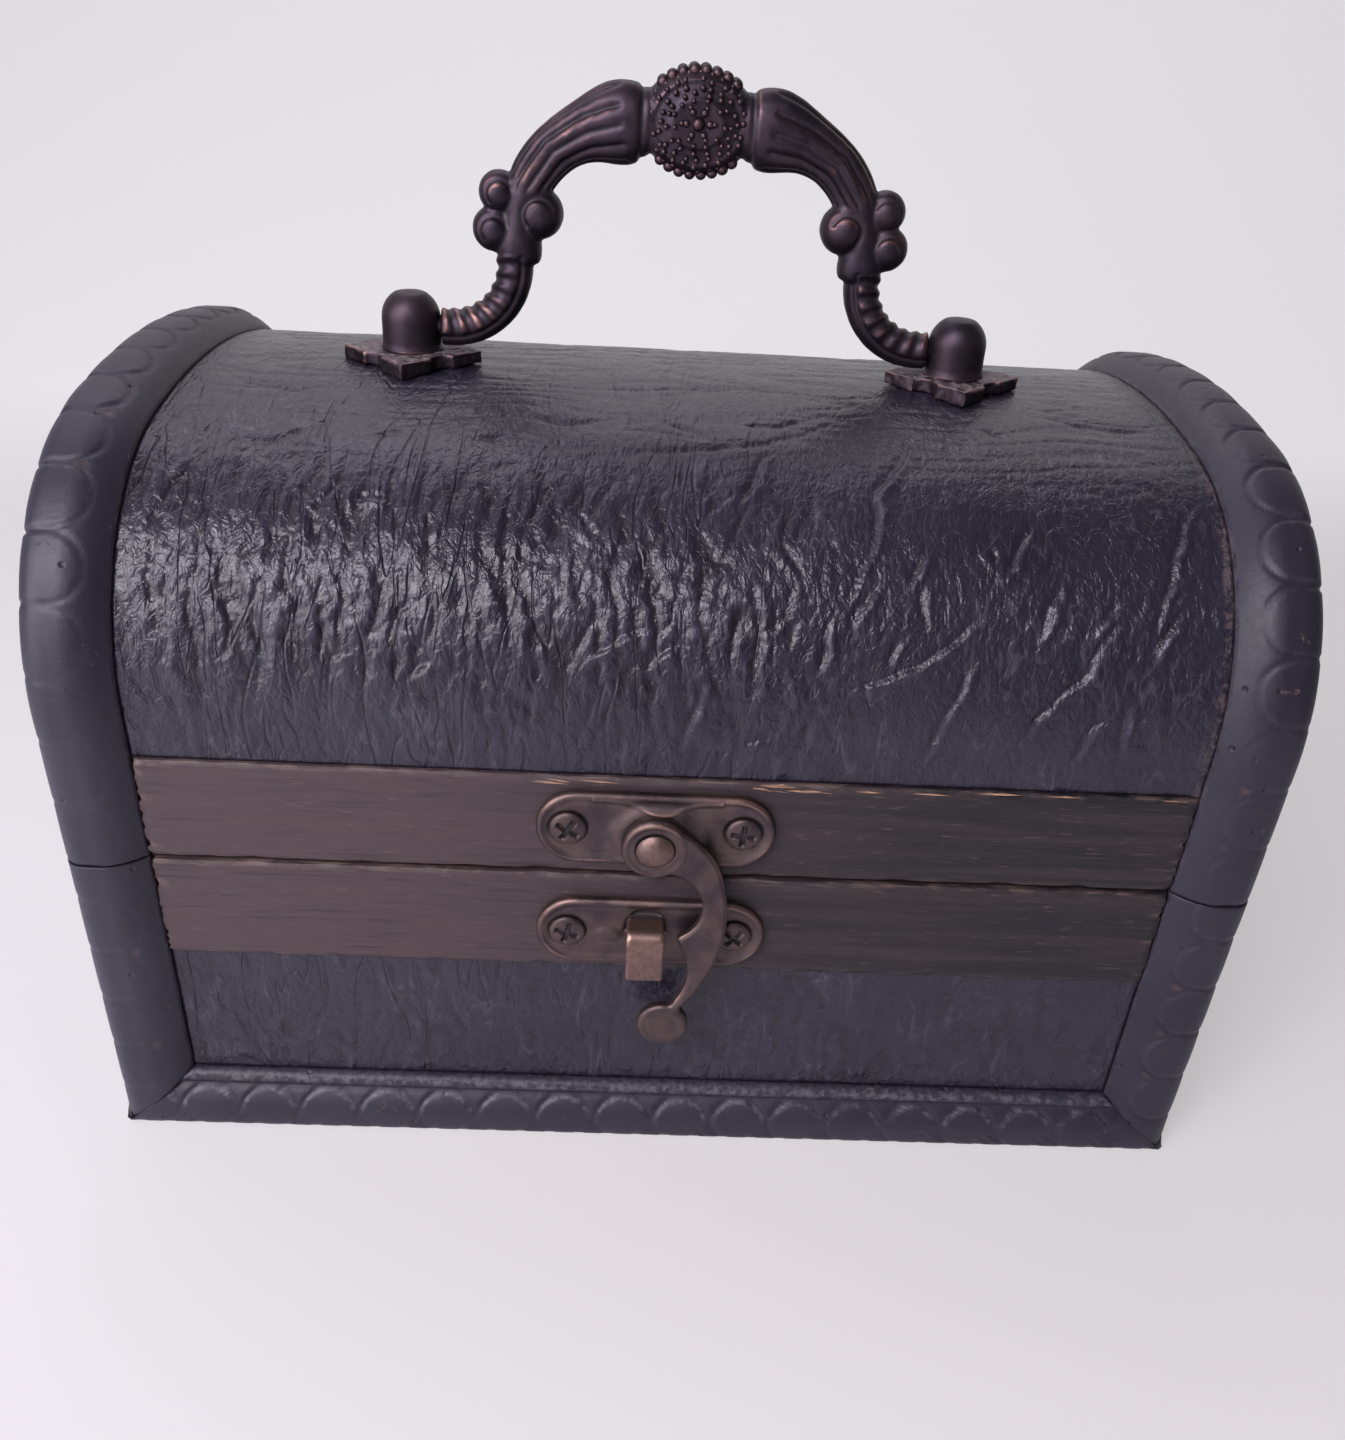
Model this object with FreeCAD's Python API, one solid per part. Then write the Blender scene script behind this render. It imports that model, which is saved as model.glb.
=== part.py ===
import FreeCAD, Part
import math
import os

from FreeCAD import Vector

# A small domed treasure chest: a wooden base and a barrel lid covered in leatherette,
# framed by rounded mouldings, with a swing latch in front, a cast handle on top and
# two butt hinges behind. The front faces -Y, the floor is z = 0, lengths are millimetres.

# Overall form
LENGTH = 150.0
DEPTH = 98.5
BASE_HEIGHT = 45.9
LID_LEG = 20.2
DOME_RISE = 34.0
SHOULDER_SHARE = 0.95

# Boards
WALL = 5.0
END_WALL = 6.0
FLOOR = 3.0
LEATHER = 0.8

# Mouldings that frame every edge
FRAME_WIDTH = 10.0
FRAME_THICKNESS = 3.9
FRAME_EDGE = 1.4
FRAME_CORNER = 3.0
TRIM_HEIGHT = 8.9
TRIM_FOOT_ROUND = 1.2
MITRE_REACH_SHARE = 1.5

# Plain wood bands along the seam, front and back
BASE_BAND = 15.0
LID_BAND = 14.0
BAND_THICKNESS = 1.6

# Clearances
SEAM_GAP = 0.4
FRAME_SEAM_GAP = 0.15
BOARD_SEAM_GAP = 0.1
GLUE = 0.05
RUNNING = 0.05
SIDE_PLAY = 0.15
OVERRUN = 2.0

# Swing latch on the front
LATCH_X = -1.75
LATCH_PLATE_LENGTH = 29.6
LATCH_PLATE_HEIGHT = 10.4
LATCH_PLATE_THICKNESS = 1.0
LATCH_PLATE_ROUND = 0.4
HOOK_PLATE_RISE = 7.6
KEEPER_PLATE_DROP = 8.7
LATCH_SCREW_PITCH = 21.6
HOOK_PIVOT_RISE = 6.5
HOOK_BOSS_RADIUS = 4.2
HOOK_THICKNESS = 1.3
HOOK_CORNER = 0.8
HOOK_BEVEL = 0.3
HOOK_DROP = 29.0
HOOK_KNOB_RADIUS = 3.4
PLATE_BOSS_RADIUS = 3.5
PLATE_BOSS_HEIGHT = 1.2
RIVET_RADIUS = 1.5
RIVET_HEAD_RADIUS = 2.4
RIVET_HEAD_HEIGHT = 1.1
LUG_WIDTH = 4.2
LUG_THICKNESS = 1.1
LUG_DROP = 7.2
LUG_TOP_SETBACK = 2.4
LUG_BEND = 1.6
LUG_OFFSET = -0.7
LUG_CLEARANCE = 0.35

# Outline of the hook below its pivot, as shares of its drop: across, then up
HOOK_SHOULDER_SHARES = ((0.075, 0.112), (0.194, 0.022))
HOOK_OUTER_SHARES = ((0.266, -0.077), (0.322, -0.340), (0.119, -0.920))
HOOK_HEEL_SHARES = (0.085, -0.905)
HOOK_LOWER_BAY_SHARES = (0.177, -0.700)
HOOK_SPUR_SHARES = (0.110, -0.486)
HOOK_UPPER_BAY_SHARES = ((0.224, -0.315), (0.066, -0.126))
HOOK_KNOB_SHARES = (0.073, -0.995)

# Screws of the latch plates and the hinge leaves
SCREW_HEAD_RADIUS = 2.2
SCREW_HEAD_HEIGHT = 0.6
SCREW_HEAD_ROUND = 0.35
SCREW_RADIUS = 0.9
SCREW_LENGTH = 6.0
LEAF_SCREW_HEAD_RADIUS = 1.5
LEAF_SCREW_RADIUS = 0.7
LEAF_SCREW_PITCH = 10.0

# Butt hinges on the back
HINGE_INSET = 35.0
LEAF_WIDTH = 18.0
LEAF_HEIGHT = 11.0
LEAF_THICKNESS = 0.8
PIN_STANDOFF = 0.3
PIN_RADIUS = 0.8
KNUCKLE_BITE_SHARE = 0.5
KNUCKLE_GAP = 0.2

# Carrying handle on the crown of the lid
HANDLE_CENTRES = 74.5
HANDLE_RISE = 26.7
PIVOT_RISE = 4.8
FOOT_PLATE_SIDE = 13.2
FOOT_PLATE_THICKNESS = 1.8
FOOT_PLATE_BITE = 1.1
FOOT_PLATE_BITE_RADIUS = 2.2
POST_RADIUS = 3.95
POST_STRAIGHT = 3.95
HANDLE_PIN_RADIUS = 1.3
HANDLE_PIN_DEPTH = 1.9
HANDLE_PLAY = 0.25
HANDLE_ROD_RADIUS = 2.4
HANDLE_NECK = 1.3
HANDLE_BEND = 8.7
HANDLE_SCREW_RADIUS = 1.0
HANDLE_SCREW_HEAD_RADIUS = 2.6
HANDLE_SCREW_HEAD_HEIGHT = 1.0
HANDLE_SCREW_DEPTH = 5.0
MEDALLION_WIDTH = 14.2
MEDALLION_HEIGHT = 12.1
MEDALLION_THICKNESS = 7.4

# Rising arm of the handle, from the top of its lower bend, over the bell beside the medallion
# and into the medallion: across as a share of half the post pitch, up as a share of the rise,
# then the arm's width and depth as shares of the rod's radius
ARM_SHARES = (
    (0.600, 0.502, 1.11, 1.06),
    (0.570, 0.678, 1.18, 1.10),
    (0.481, 0.846, 1.31, 1.16),
    (0.368, 0.936, 1.60, 1.30),
    (0.255, 0.978, 2.04, 1.48),
    (0.188, 0.993, 1.78, 1.36),
    (0.118, 1.000, 1.22, 1.02),
)

# Ovals through the medallion from front to back: depth, then size, as shares of its half sizes
MEDALLION_SHARES = ((-1.0, 0.46), (-0.76, 0.80), (-0.32, 1.0), (0.32, 1.0), (0.76, 0.80), (1.0, 0.46))

# Scroll ends that curl off the arm: across, up, and radius as a share of the rod's radius
CURL_SHARES = (
    (0.535, 0.563, 1.34),
    (0.671, 0.650, 1.12),
    (0.691, 0.483, 1.19),
)

# Worked out from the sizes above
HALF_LENGTH = LENGTH / 2
HALF_DEPTH = DEPTH / 2
BOARD_X = HALF_LENGTH - FRAME_THICKNESS
BOARD_Y = HALF_DEPTH - FRAME_THICKNESS
INNER_X = BOARD_X - END_WALL
INNER_Y = BOARD_Y - WALL
PANEL_X = HALF_LENGTH - FRAME_WIDTH - GLUE
PANEL_Y = HALF_DEPTH - FRAME_WIDTH - GLUE
BAND_Y = BOARD_Y + BAND_THICKNESS
SEAM = BASE_HEIGHT
LID_FOOT = SEAM + BOARD_SEAM_GAP
SPRING = SEAM + LID_LEG
CROWN = SPRING + DOME_RISE
BASE_BAND_FOOT = SEAM - SEAM_GAP - BASE_BAND
LID_BAND_TOP = SEAM + SEAM_GAP + LID_BAND

# Three-centred arch of the dome: two shoulders and a flatter crown, tangent where they meet
SHOULDER_RADIUS = SHOULDER_SHARE * DOME_RISE
SHOULDER_Y = HALF_DEPTH - SHOULDER_RADIUS
CROWN_LIFT = DOME_RISE - SHOULDER_RADIUS
CROWN_RADIUS = (SHOULDER_Y ** 2 + DOME_RISE ** 2 - SHOULDER_RADIUS ** 2) / (2 * CROWN_LIFT)
CROWN_CENTRE_Z = CROWN - CROWN_RADIUS
ARCH_ANGLE = math.atan2(SPRING - CROWN_CENTRE_Z, SHOULDER_Y)

# Depth of the latch layers in front of the bands, from the box outwards
LATCH_FACE = BAND_Y + LATCH_PLATE_THICKNESS
HOOK_BACK = LATCH_FACE + PLATE_BOSS_HEIGHT + SIDE_PLAY
HOOK_FRONT = HOOK_BACK + HOOK_THICKNESS
LUG_BACK = HOOK_FRONT + LUG_CLEARANCE
HOOK_PLATE_Z = SEAM + HOOK_PLATE_RISE
KEEPER_PLATE_Z = SEAM - KEEPER_PLATE_DROP
HOOK_PIVOT_Z = SEAM + HOOK_PIVOT_RISE

# Hinge axis, just behind the mouldings so that the lid turns clear of the base
HINGE_Y = HALF_DEPTH + PIN_STANDOFF
HINGE_Z = SEAM + BOARD_SEAM_GAP / 2
LEAF_FACE = BAND_Y + LEAF_THICKNESS
KNUCKLE_RADIUS = HINGE_Y - LEAF_FACE + KNUCKLE_BITE_SHARE * LEAF_THICKNESS
LEAF_SCREW_LIFT = (LEAF_HEIGHT + KNUCKLE_RADIUS) / 2
HINGE_PLACES = (HINGE_INSET - HALF_LENGTH, HALF_LENGTH - HINGE_INSET)

# Handle heights
LEATHER_TOP = CROWN - FRAME_THICKNESS + LEATHER
FOOT_TOP = LEATHER_TOP + FOOT_PLATE_THICKNESS
PIVOT_Z = LEATHER_TOP + PIVOT_RISE
POST_X = HANDLE_CENTRES / 2
BAIL_END_X = POST_X - POST_RADIUS - HANDLE_PLAY
BEND_X = BAIL_END_X - HANDLE_NECK


def box(x0, x1, y0, y1, z0, z1):
    return Part.makeBox(x1 - x0, y1 - y0, z1 - z0, Vector(x0, y0, z0))


def rod_y(x, z, radius, y0, y1):
    low, high = sorted((y0, y1))
    return Part.makeCylinder(radius, high - low, Vector(x, low, z), Vector(0, 1, 0))


def rod_z(x, y, radius, z0, z1):
    return Part.makeCylinder(radius, z1 - z0, Vector(x, y, z0))


def rod_x(y, z, radius, x0, x1):
    low, high = sorted((x0, x1))
    return Part.makeCylinder(radius, high - low, Vector(low, y, z), Vector(1, 0, 0))


def mirror_x(shape):
    return shape.mirror(Vector(0, 0, 0), Vector(1, 0, 0))


def mirror_y(shape):
    return shape.mirror(Vector(0, 0, 0), Vector(0, 1, 0))


def line(start, end):
    return Part.LineSegment(start, end).toShape()


def arc(start, middle, end):
    return Part.Arc(start, middle, end).toShape()


def face_of(edges):
    return Part.Face(Part.Wire(edges))


def prism(points, sweep):
    """A straight prism on a closed polygon."""
    return Part.Face(Part.makePolygon(list(points) + [points[0]])).extrude(sweep)


def fused(shapes):
    """One solid from shapes that meet, joined one after another."""
    whole = shapes[0]
    for shape in shapes[1:]:
        whole = whole.fuse(shape)
    return whole.removeSplitter()


def arch_face(offset, foot):
    """The lid's end outline, drawn in by an offset and cut off level at its foot."""
    side = HALF_DEPTH - offset
    shoulder = SHOULDER_RADIUS - offset

    def on_shoulder(angle, hand):
        y = SHOULDER_Y + shoulder * math.cos(angle)
        return Vector(0, hand * y, SPRING + shoulder * math.sin(angle))

    top = Vector(0, 0, CROWN - offset)
    half = ARCH_ANGLE / 2
    return face_of([
        line(Vector(0, -side, foot), Vector(0, -side, SPRING)),
        arc(Vector(0, -side, SPRING), on_shoulder(half, -1), on_shoulder(ARCH_ANGLE, -1)),
        arc(on_shoulder(ARCH_ANGLE, -1), top, on_shoulder(ARCH_ANGLE, 1)),
        arc(on_shoulder(ARCH_ANGLE, 1), on_shoulder(half, 1), Vector(0, side, SPRING)),
        line(Vector(0, side, SPRING), Vector(0, side, foot)),
        line(Vector(0, side, foot), Vector(0, -side, foot)),
    ])


def arch_solid(offset, foot, x0, x1):
    face = arch_face(offset, foot)
    face.translate(Vector(x0, 0, 0))
    return face.extrude(Vector(x1 - x0, 0, 0))


# Half-round edge of the mouldings: from the square edge beside the leather up to the flat
EDGE_RUN = FRAME_WIDTH / 2
EDGE_LIFT = FRAME_THICKNESS - FRAME_EDGE
EDGE_RADIUS = (EDGE_RUN ** 2 + EDGE_LIFT ** 2) / (2 * EDGE_LIFT)
EDGE_ANGLE = math.asin(EDGE_RUN / EDGE_RADIUS)
EDGE_MID_RUN = EDGE_RADIUS * math.sin(EDGE_ANGLE / 2)
EDGE_MID_DROP = EDGE_RADIUS * (1 - math.cos(EDGE_ANGLE / 2))
CORNER_MID = FRAME_CORNER * (1 - math.sqrt(2) / 2)


def corner_section(z):
    """The corner moulding's section at the front right, wrapped on to both faces."""
    def at(in_from_end, in_from_front):
        return Vector(HALF_LENGTH - in_from_end, in_from_front - HALF_DEPTH, z)

    edge = FRAME_THICKNESS - FRAME_EDGE
    mid = FRAME_WIDTH / 2 + EDGE_MID_RUN
    return face_of([
        line(at(FRAME_WIDTH, FRAME_THICKNESS), at(FRAME_WIDTH, edge)),
        arc(at(FRAME_WIDTH, edge), at(mid, EDGE_MID_DROP), at(FRAME_WIDTH / 2, 0)),
        line(at(FRAME_WIDTH / 2, 0), at(FRAME_CORNER, 0)),
        arc(at(FRAME_CORNER, 0), at(CORNER_MID, CORNER_MID), at(0, FRAME_CORNER)),
        line(at(0, FRAME_CORNER), at(0, FRAME_WIDTH / 2)),
        arc(at(0, FRAME_WIDTH / 2), at(EDGE_MID_DROP, mid), at(edge, FRAME_WIDTH)),
        line(at(edge, FRAME_WIDTH), at(FRAME_THICKNESS, FRAME_WIDTH)),
        line(at(FRAME_THICKNESS, FRAME_WIDTH), at(FRAME_THICKNESS, FRAME_THICKNESS)),
        line(at(FRAME_THICKNESS, FRAME_THICKNESS), at(FRAME_WIDTH, FRAME_THICKNESS)),
    ])


def corner_stile():
    """Base corner moulding at the front right, mitred at its foot on both faces."""
    stile = corner_section(0).extrude(Vector(0, 0, SEAM - FRAME_SEAM_GAP))
    in_x = HALF_LENGTH - FRAME_WIDTH
    in_y = FRAME_WIDTH - HALF_DEPTH
    front = [
        Vector(HALF_LENGTH, -BOARD_Y, 0),
        Vector(in_x, -BOARD_Y, 0),
        Vector(in_x, -BOARD_Y, TRIM_HEIGHT),
    ]
    end = [
        Vector(BOARD_X, -HALF_DEPTH, 0),
        Vector(BOARD_X, in_y, 0),
        Vector(BOARD_X, in_y, TRIM_HEIGHT),
    ]
    stile = stile.cut(prism(front, Vector(0, -FRAME_THICKNESS - OVERRUN, 0)))
    return stile.cut(prism(end, Vector(FRAME_THICKNESS + OVERRUN, 0, 0)))


def bottom_trim(half_run, half_across):
    """A bottom moulding along X on the -Y face, mitred to the corners and to its neighbours."""
    def at(in_from_face, height):
        return Vector(-half_run, in_from_face - half_across, height)

    edge = FRAME_THICKNESS - FRAME_EDGE
    half = TRIM_HEIGHT / 2
    shoulder = half + EDGE_MID_RUN * TRIM_HEIGHT / FRAME_WIDTH
    foot = TRIM_FOOT_ROUND
    foot_mid = foot * (1 - math.sqrt(2) / 2)
    section = face_of([
        line(at(FRAME_THICKNESS, 0), at(foot, 0)),
        arc(at(foot, 0), at(foot_mid, foot_mid), at(0, foot)),
        line(at(0, foot), at(0, half)),
        arc(at(0, half), at(EDGE_MID_DROP, shoulder), at(edge, TRIM_HEIGHT)),
        line(at(edge, TRIM_HEIGHT), at(FRAME_THICKNESS, TRIM_HEIGHT)),
        line(at(FRAME_THICKNESS, TRIM_HEIGHT), at(FRAME_THICKNESS, 0)),
    ])
    trim = section.extrude(Vector(2 * half_run, 0, 0))
    rise = MITRE_REACH_SHARE * TRIM_HEIGHT
    inward = MITRE_REACH_SHARE * FRAME_WIDTH
    across = MITRE_REACH_SHARE * FRAME_THICKNESS
    y = -half_across - OVERRUN
    upright = [Vector(half_run, y, 0), Vector(half_run - inward, y, rise), Vector(half_run, y, rise)]
    plan = [
        Vector(half_run, -half_across, -OVERRUN),
        Vector(half_run - across, across - half_across, -OVERRUN),
        Vector(half_run, across - half_across, -OVERRUN),
    ]
    ends = [
        prism(upright, Vector(0, FRAME_THICKNESS + 2 * OVERRUN, 0)),
        prism(plan, Vector(0, 0, TRIM_HEIGHT + 2 * OVERRUN)),
    ]
    for end in ends:
        trim = trim.cut(end).cut(mirror_x(end))
    return trim


def end_trim():
    """The bottom moulding of the right end: the same moulding turned a quarter round."""
    trim = bottom_trim(HALF_DEPTH, HALF_LENGTH)
    trim.rotate(Vector(0, 0, 0), Vector(0, 0, 1), 90)
    return trim


def arch_moulding():
    """Moulding over the right end of the lid: two legs, two shoulders and the crown."""
    leg_foot = SEAM + FRAME_SEAM_GAP
    leg = corner_section(leg_foot).extrude(Vector(0, 0, SPRING - leg_foot))
    angle = math.degrees(ARCH_ANGLE)
    shoulder_centre = Vector(0, -SHOULDER_Y, SPRING)
    crown_centre = Vector(0, 0, CROWN_CENTRE_Z)
    backwards = Vector(-1, 0, 0)
    section = corner_section(SPRING)
    shoulder = section.revolve(shoulder_centre, backwards, angle)
    section.rotate(shoulder_centre, backwards, angle)
    crown = section.revolve(crown_centre, backwards, 180 - 2 * angle)
    return fused([leg, shoulder, crown, mirror_y(shoulder), mirror_y(leg)])


# Screws, and the holes that they need in whatever they pass through
def screw(x, z, face, out, head_radius, radius):
    """A screw driven square to a front or back face; out is -1 at the front, 1 at the back."""
    head = rod_y(x, z, head_radius, face, face + out * SCREW_HEAD_HEIGHT)
    rim = [e for e in head.Edges if abs(e.CenterOfMass.y - face) > SCREW_HEAD_HEIGHT / 2 and e.Closed]
    head = head.makeFillet(SCREW_HEAD_ROUND, rim)
    return fused([head, rod_y(x, z, radius, face, face - out * SCREW_LENGTH)])


def screw_hole(x, z, face, out, radius):
    return rod_y(x, z, radius + GLUE, face + out * OVERRUN, face - out * (SCREW_LENGTH + GLUE))


def latch_screw_places(plate_z):
    return [(LATCH_X + hand * LATCH_SCREW_PITCH / 2, plate_z) for hand in (-1, 1)]


def leaf_screw_places(up):
    height = HINGE_Z + up * LEAF_SCREW_LIFT
    return [(x + hand * LEAF_SCREW_PITCH / 2, height) for x in HINGE_PLACES for hand in (-1, 1)]


def latch_screws(plate_z):
    places = latch_screw_places(plate_z)
    return Part.makeCompound(
        [screw(x, z, -LATCH_FACE, -1, SCREW_HEAD_RADIUS, SCREW_RADIUS) for x, z in places])


def leaf_screws(up):
    places = leaf_screw_places(up)
    return Part.makeCompound(
        [screw(x, z, LEAF_FACE, 1, LEAF_SCREW_HEAD_RADIUS, LEAF_SCREW_RADIUS) for x, z in places])


def drilled(shape, holes):
    for hole in holes:
        shape = shape.cut(hole)
    return shape


def latch_holes(plate_z):
    return [screw_hole(x, z, -LATCH_FACE, -1, SCREW_RADIUS) for x, z in latch_screw_places(plate_z)]


def leaf_holes(up):
    return [screw_hole(x, z, LEAF_FACE, 1, LEAF_SCREW_RADIUS) for x, z in leaf_screw_places(up)]


def handle_holes():
    top = FOOT_TOP + HANDLE_SCREW_DEPTH + GLUE
    radius = HANDLE_SCREW_RADIUS + GLUE
    return [rod_z(hand * POST_X, 0, radius, SPRING, top) for hand in (-1, 1)]


# Base
def base_front_wall():
    return drilled(box(-BOARD_X, BOARD_X, -BOARD_Y, -INNER_Y, 0, SEAM), latch_holes(KEEPER_PLATE_Z))


def base_back_wall():
    return drilled(box(-BOARD_X, BOARD_X, INNER_Y, BOARD_Y, 0, SEAM), leaf_holes(-1))


def base_end():
    return box(INNER_X, BOARD_X, -INNER_Y, INNER_Y, 0, SEAM)


def base_floor():
    return box(-INNER_X, INNER_X, -INNER_Y, INNER_Y, 0, FLOOR)


def base_front_leather():
    return box(-PANEL_X, PANEL_X, -BOARD_Y - LEATHER, -BOARD_Y, TRIM_HEIGHT + GLUE, BASE_BAND_FOOT - GLUE)


def base_end_leather():
    top = SEAM - FRAME_SEAM_GAP
    return box(BOARD_X, BOARD_X + LEATHER, -PANEL_Y, PANEL_Y, TRIM_HEIGHT + GLUE, top)


def base_band(holes):
    band = box(-PANEL_X, PANEL_X, -BAND_Y, -BOARD_Y, BASE_BAND_FOOT, SEAM - SEAM_GAP)
    return drilled(band, holes)


# Lid
def lid_rail(holes):
    return drilled(box(-BOARD_X, BOARD_X, -BOARD_Y, -INNER_Y, LID_FOOT, SPRING), holes)


def bent_sheet(outer, inner, foot, half_run):
    """A sheet bent over the dome between two offsets, ending level at its foot."""
    sheet = arch_solid(outer, SEAM, -half_run, half_run)
    inside = arch_solid(inner, SEAM - OVERRUN, -HALF_LENGTH, HALF_LENGTH)
    above = box(-HALF_LENGTH, HALF_LENGTH, -HALF_DEPTH, HALF_DEPTH, foot, CROWN)
    return drilled(sheet.cut(inside).common(above), handle_holes())


def lid_dome():
    """The bent board of the dome, standing on the two rails."""
    return bent_sheet(FRAME_THICKNESS, FRAME_THICKNESS + WALL, SPRING, BOARD_X)


def lid_end():
    return arch_solid(FRAME_THICKNESS + WALL + GLUE, LID_FOOT, INNER_X, BOARD_X)


def lid_leather():
    """One sheet over the dome, from the top of the front band to the top of the back band."""
    return bent_sheet(FRAME_THICKNESS - LEATHER, FRAME_THICKNESS - GLUE, LID_BAND_TOP + GLUE, PANEL_X)


def lid_end_leather():
    return arch_solid(FRAME_WIDTH + GLUE, SEAM + FRAME_SEAM_GAP, BOARD_X, BOARD_X + LEATHER)


def lid_band(holes):
    return drilled(box(-PANEL_X, PANEL_X, -BAND_Y, -BOARD_Y, SEAM + SEAM_GAP, LID_BAND_TOP), holes)


# Swing latch
def latch_plate(plate_z):
    """A plate with round ends, lying on a band, its front edge eased."""
    radius = LATCH_PLATE_HEIGHT / 2
    reach = LATCH_PLATE_LENGTH / 2 - radius
    low, high = plate_z - radius, plate_z + radius
    left, right = LATCH_X - reach, LATCH_X + reach
    y = -BAND_Y

    def at(x, z):
        return Vector(x, y, z)

    outline = face_of([
        line(at(left, high), at(right, high)),
        arc(at(right, high), at(right + radius, plate_z), at(right, low)),
        line(at(right, low), at(left, low)),
        arc(at(left, low), at(left - radius, plate_z), at(left, high)),
    ])
    plate = outline.extrude(Vector(0, -LATCH_PLATE_THICKNESS, 0))
    rim = [e for e in plate.Edges if abs(e.CenterOfMass.y + LATCH_FACE) < GLUE]
    return plate.makeFillet(LATCH_PLATE_ROUND, rim)


def hook_plate():
    boss = rod_y(LATCH_X, HOOK_PIVOT_Z, PLATE_BOSS_RADIUS, -BAND_Y, -LATCH_FACE - PLATE_BOSS_HEIGHT)
    plate = fused([latch_plate(HOOK_PLATE_Z), boss])
    rivet_hole = rod_y(LATCH_X, HOOK_PIVOT_Z, RIVET_RADIUS + GLUE, -BAND_Y + OVERRUN, -HOOK_BACK - OVERRUN)
    return drilled(plate, latch_holes(HOOK_PLATE_Z) + [rivet_hole])


def cap(radius, height, centre, out):
    """A cap of a sphere on a flat round base, rising along out."""
    ball_radius = (radius ** 2 + height ** 2) / (2 * height)
    ball = Part.makeSphere(ball_radius, centre + out * (height - ball_radius))
    return ball.common(Part.makeCylinder(ball_radius, height, centre, out))


def hook_rivet():
    head_back = -HOOK_FRONT - SIDE_PLAY
    shank = rod_y(LATCH_X, HOOK_PIVOT_Z, RIVET_RADIUS, -BAND_Y, head_back)
    seat = Vector(LATCH_X, head_back, HOOK_PIVOT_Z)
    return fused([shank, cap(RIVET_HEAD_RADIUS, RIVET_HEAD_HEIGHT, seat, Vector(0, -1, 0))])


def latch_hook():
    """A flat crescent hung on the rivet, with a spur on its inner edge and a knob below."""
    def at(shares):
        return Vector(LATCH_X + shares[0] * HOOK_DROP, -HOOK_BACK, HOOK_PIVOT_Z + shares[1] * HOOK_DROP)

    shoulder_top, shoulder_mid = (at(s) for s in HOOK_SHOULDER_SHARES)
    outer_top, outer_mid, outer_end = (at(s) for s in HOOK_OUTER_SHARES)
    upper_mid, upper_end = (at(s) for s in HOOK_UPPER_BAY_SHARES)
    heel = at(HOOK_HEEL_SHARES)
    lower_mid = at(HOOK_LOWER_BAY_SHARES)
    spur = at(HOOK_SPUR_SHARES)
    knob = at(HOOK_KNOB_SHARES)
    crescent = face_of([
        arc(shoulder_top, shoulder_mid, outer_top),
        arc(outer_top, outer_mid, outer_end),
        line(outer_end, heel),
        arc(heel, lower_mid, spur),
        arc(spur, upper_mid, upper_end),
        line(upper_end, shoulder_top),
    ]).extrude(Vector(0, -HOOK_THICKNESS, 0))
    boss = rod_y(LATCH_X, HOOK_PIVOT_Z, HOOK_BOSS_RADIUS, -HOOK_BACK, -HOOK_FRONT)
    ball = rod_y(knob.x, knob.z, HOOK_KNOB_RADIUS, -HOOK_BACK, -HOOK_FRONT)
    hook = fused([boss, crescent, ball])
    corners = [e for e in hook.Edges if abs(e.BoundBox.YLength - e.Length) < GLUE]
    hook = hook.makeFillet(HOOK_CORNER, corners)
    rim = [e for e in hook.Edges if abs(e.CenterOfMass.y + HOOK_FRONT) < GLUE]
    hook = hook.makeChamfer(HOOK_BEVEL, rim)
    return hook.cut(rod_y(LATCH_X, HOOK_PIVOT_Z, RIVET_RADIUS + RUNNING, -BAND_Y, -HOOK_FRONT - OVERRUN))


def keeper_plate():
    """The lower plate with its lug: out from the plate, then bent down in front of the hook."""
    top = KEEPER_PLATE_Z + LATCH_PLATE_HEIGHT / 2 - LUG_TOP_SETBACK
    under = top - LUG_THICKNESS
    tip = top - LUG_DROP
    front = -LUG_BACK - LUG_THICKNESS
    inner = LUG_BEND - LUG_THICKNESS
    x = LATCH_X + LUG_OFFSET - LUG_WIDTH / 2
    ease = 1 - math.sqrt(2) / 2

    def at(y, z):
        return Vector(x, y, z)

    outside = at(front + ease * LUG_BEND, top - ease * LUG_BEND)
    inside = at(-LUG_BACK + ease * inner, under - ease * inner)
    side = face_of([
        line(at(-LATCH_FACE, top), at(front + LUG_BEND, top)),
        arc(at(front + LUG_BEND, top), outside, at(front, top - LUG_BEND)),
        line(at(front, top - LUG_BEND), at(front, tip)),
        line(at(front, tip), at(-LUG_BACK, tip)),
        line(at(-LUG_BACK, tip), at(-LUG_BACK, top - LUG_BEND)),
        arc(at(-LUG_BACK, top - LUG_BEND), inside, at(-LUG_BACK + inner, under)),
        line(at(-LUG_BACK + inner, under), at(-LATCH_FACE, under)),
        line(at(-LATCH_FACE, under), at(-LATCH_FACE, top)),
    ])
    lug = side.extrude(Vector(LUG_WIDTH, 0, 0))
    plate = fused([latch_plate(KEEPER_PLATE_Z), lug])
    return drilled(plate, latch_holes(KEEPER_PLATE_Z))


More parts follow.
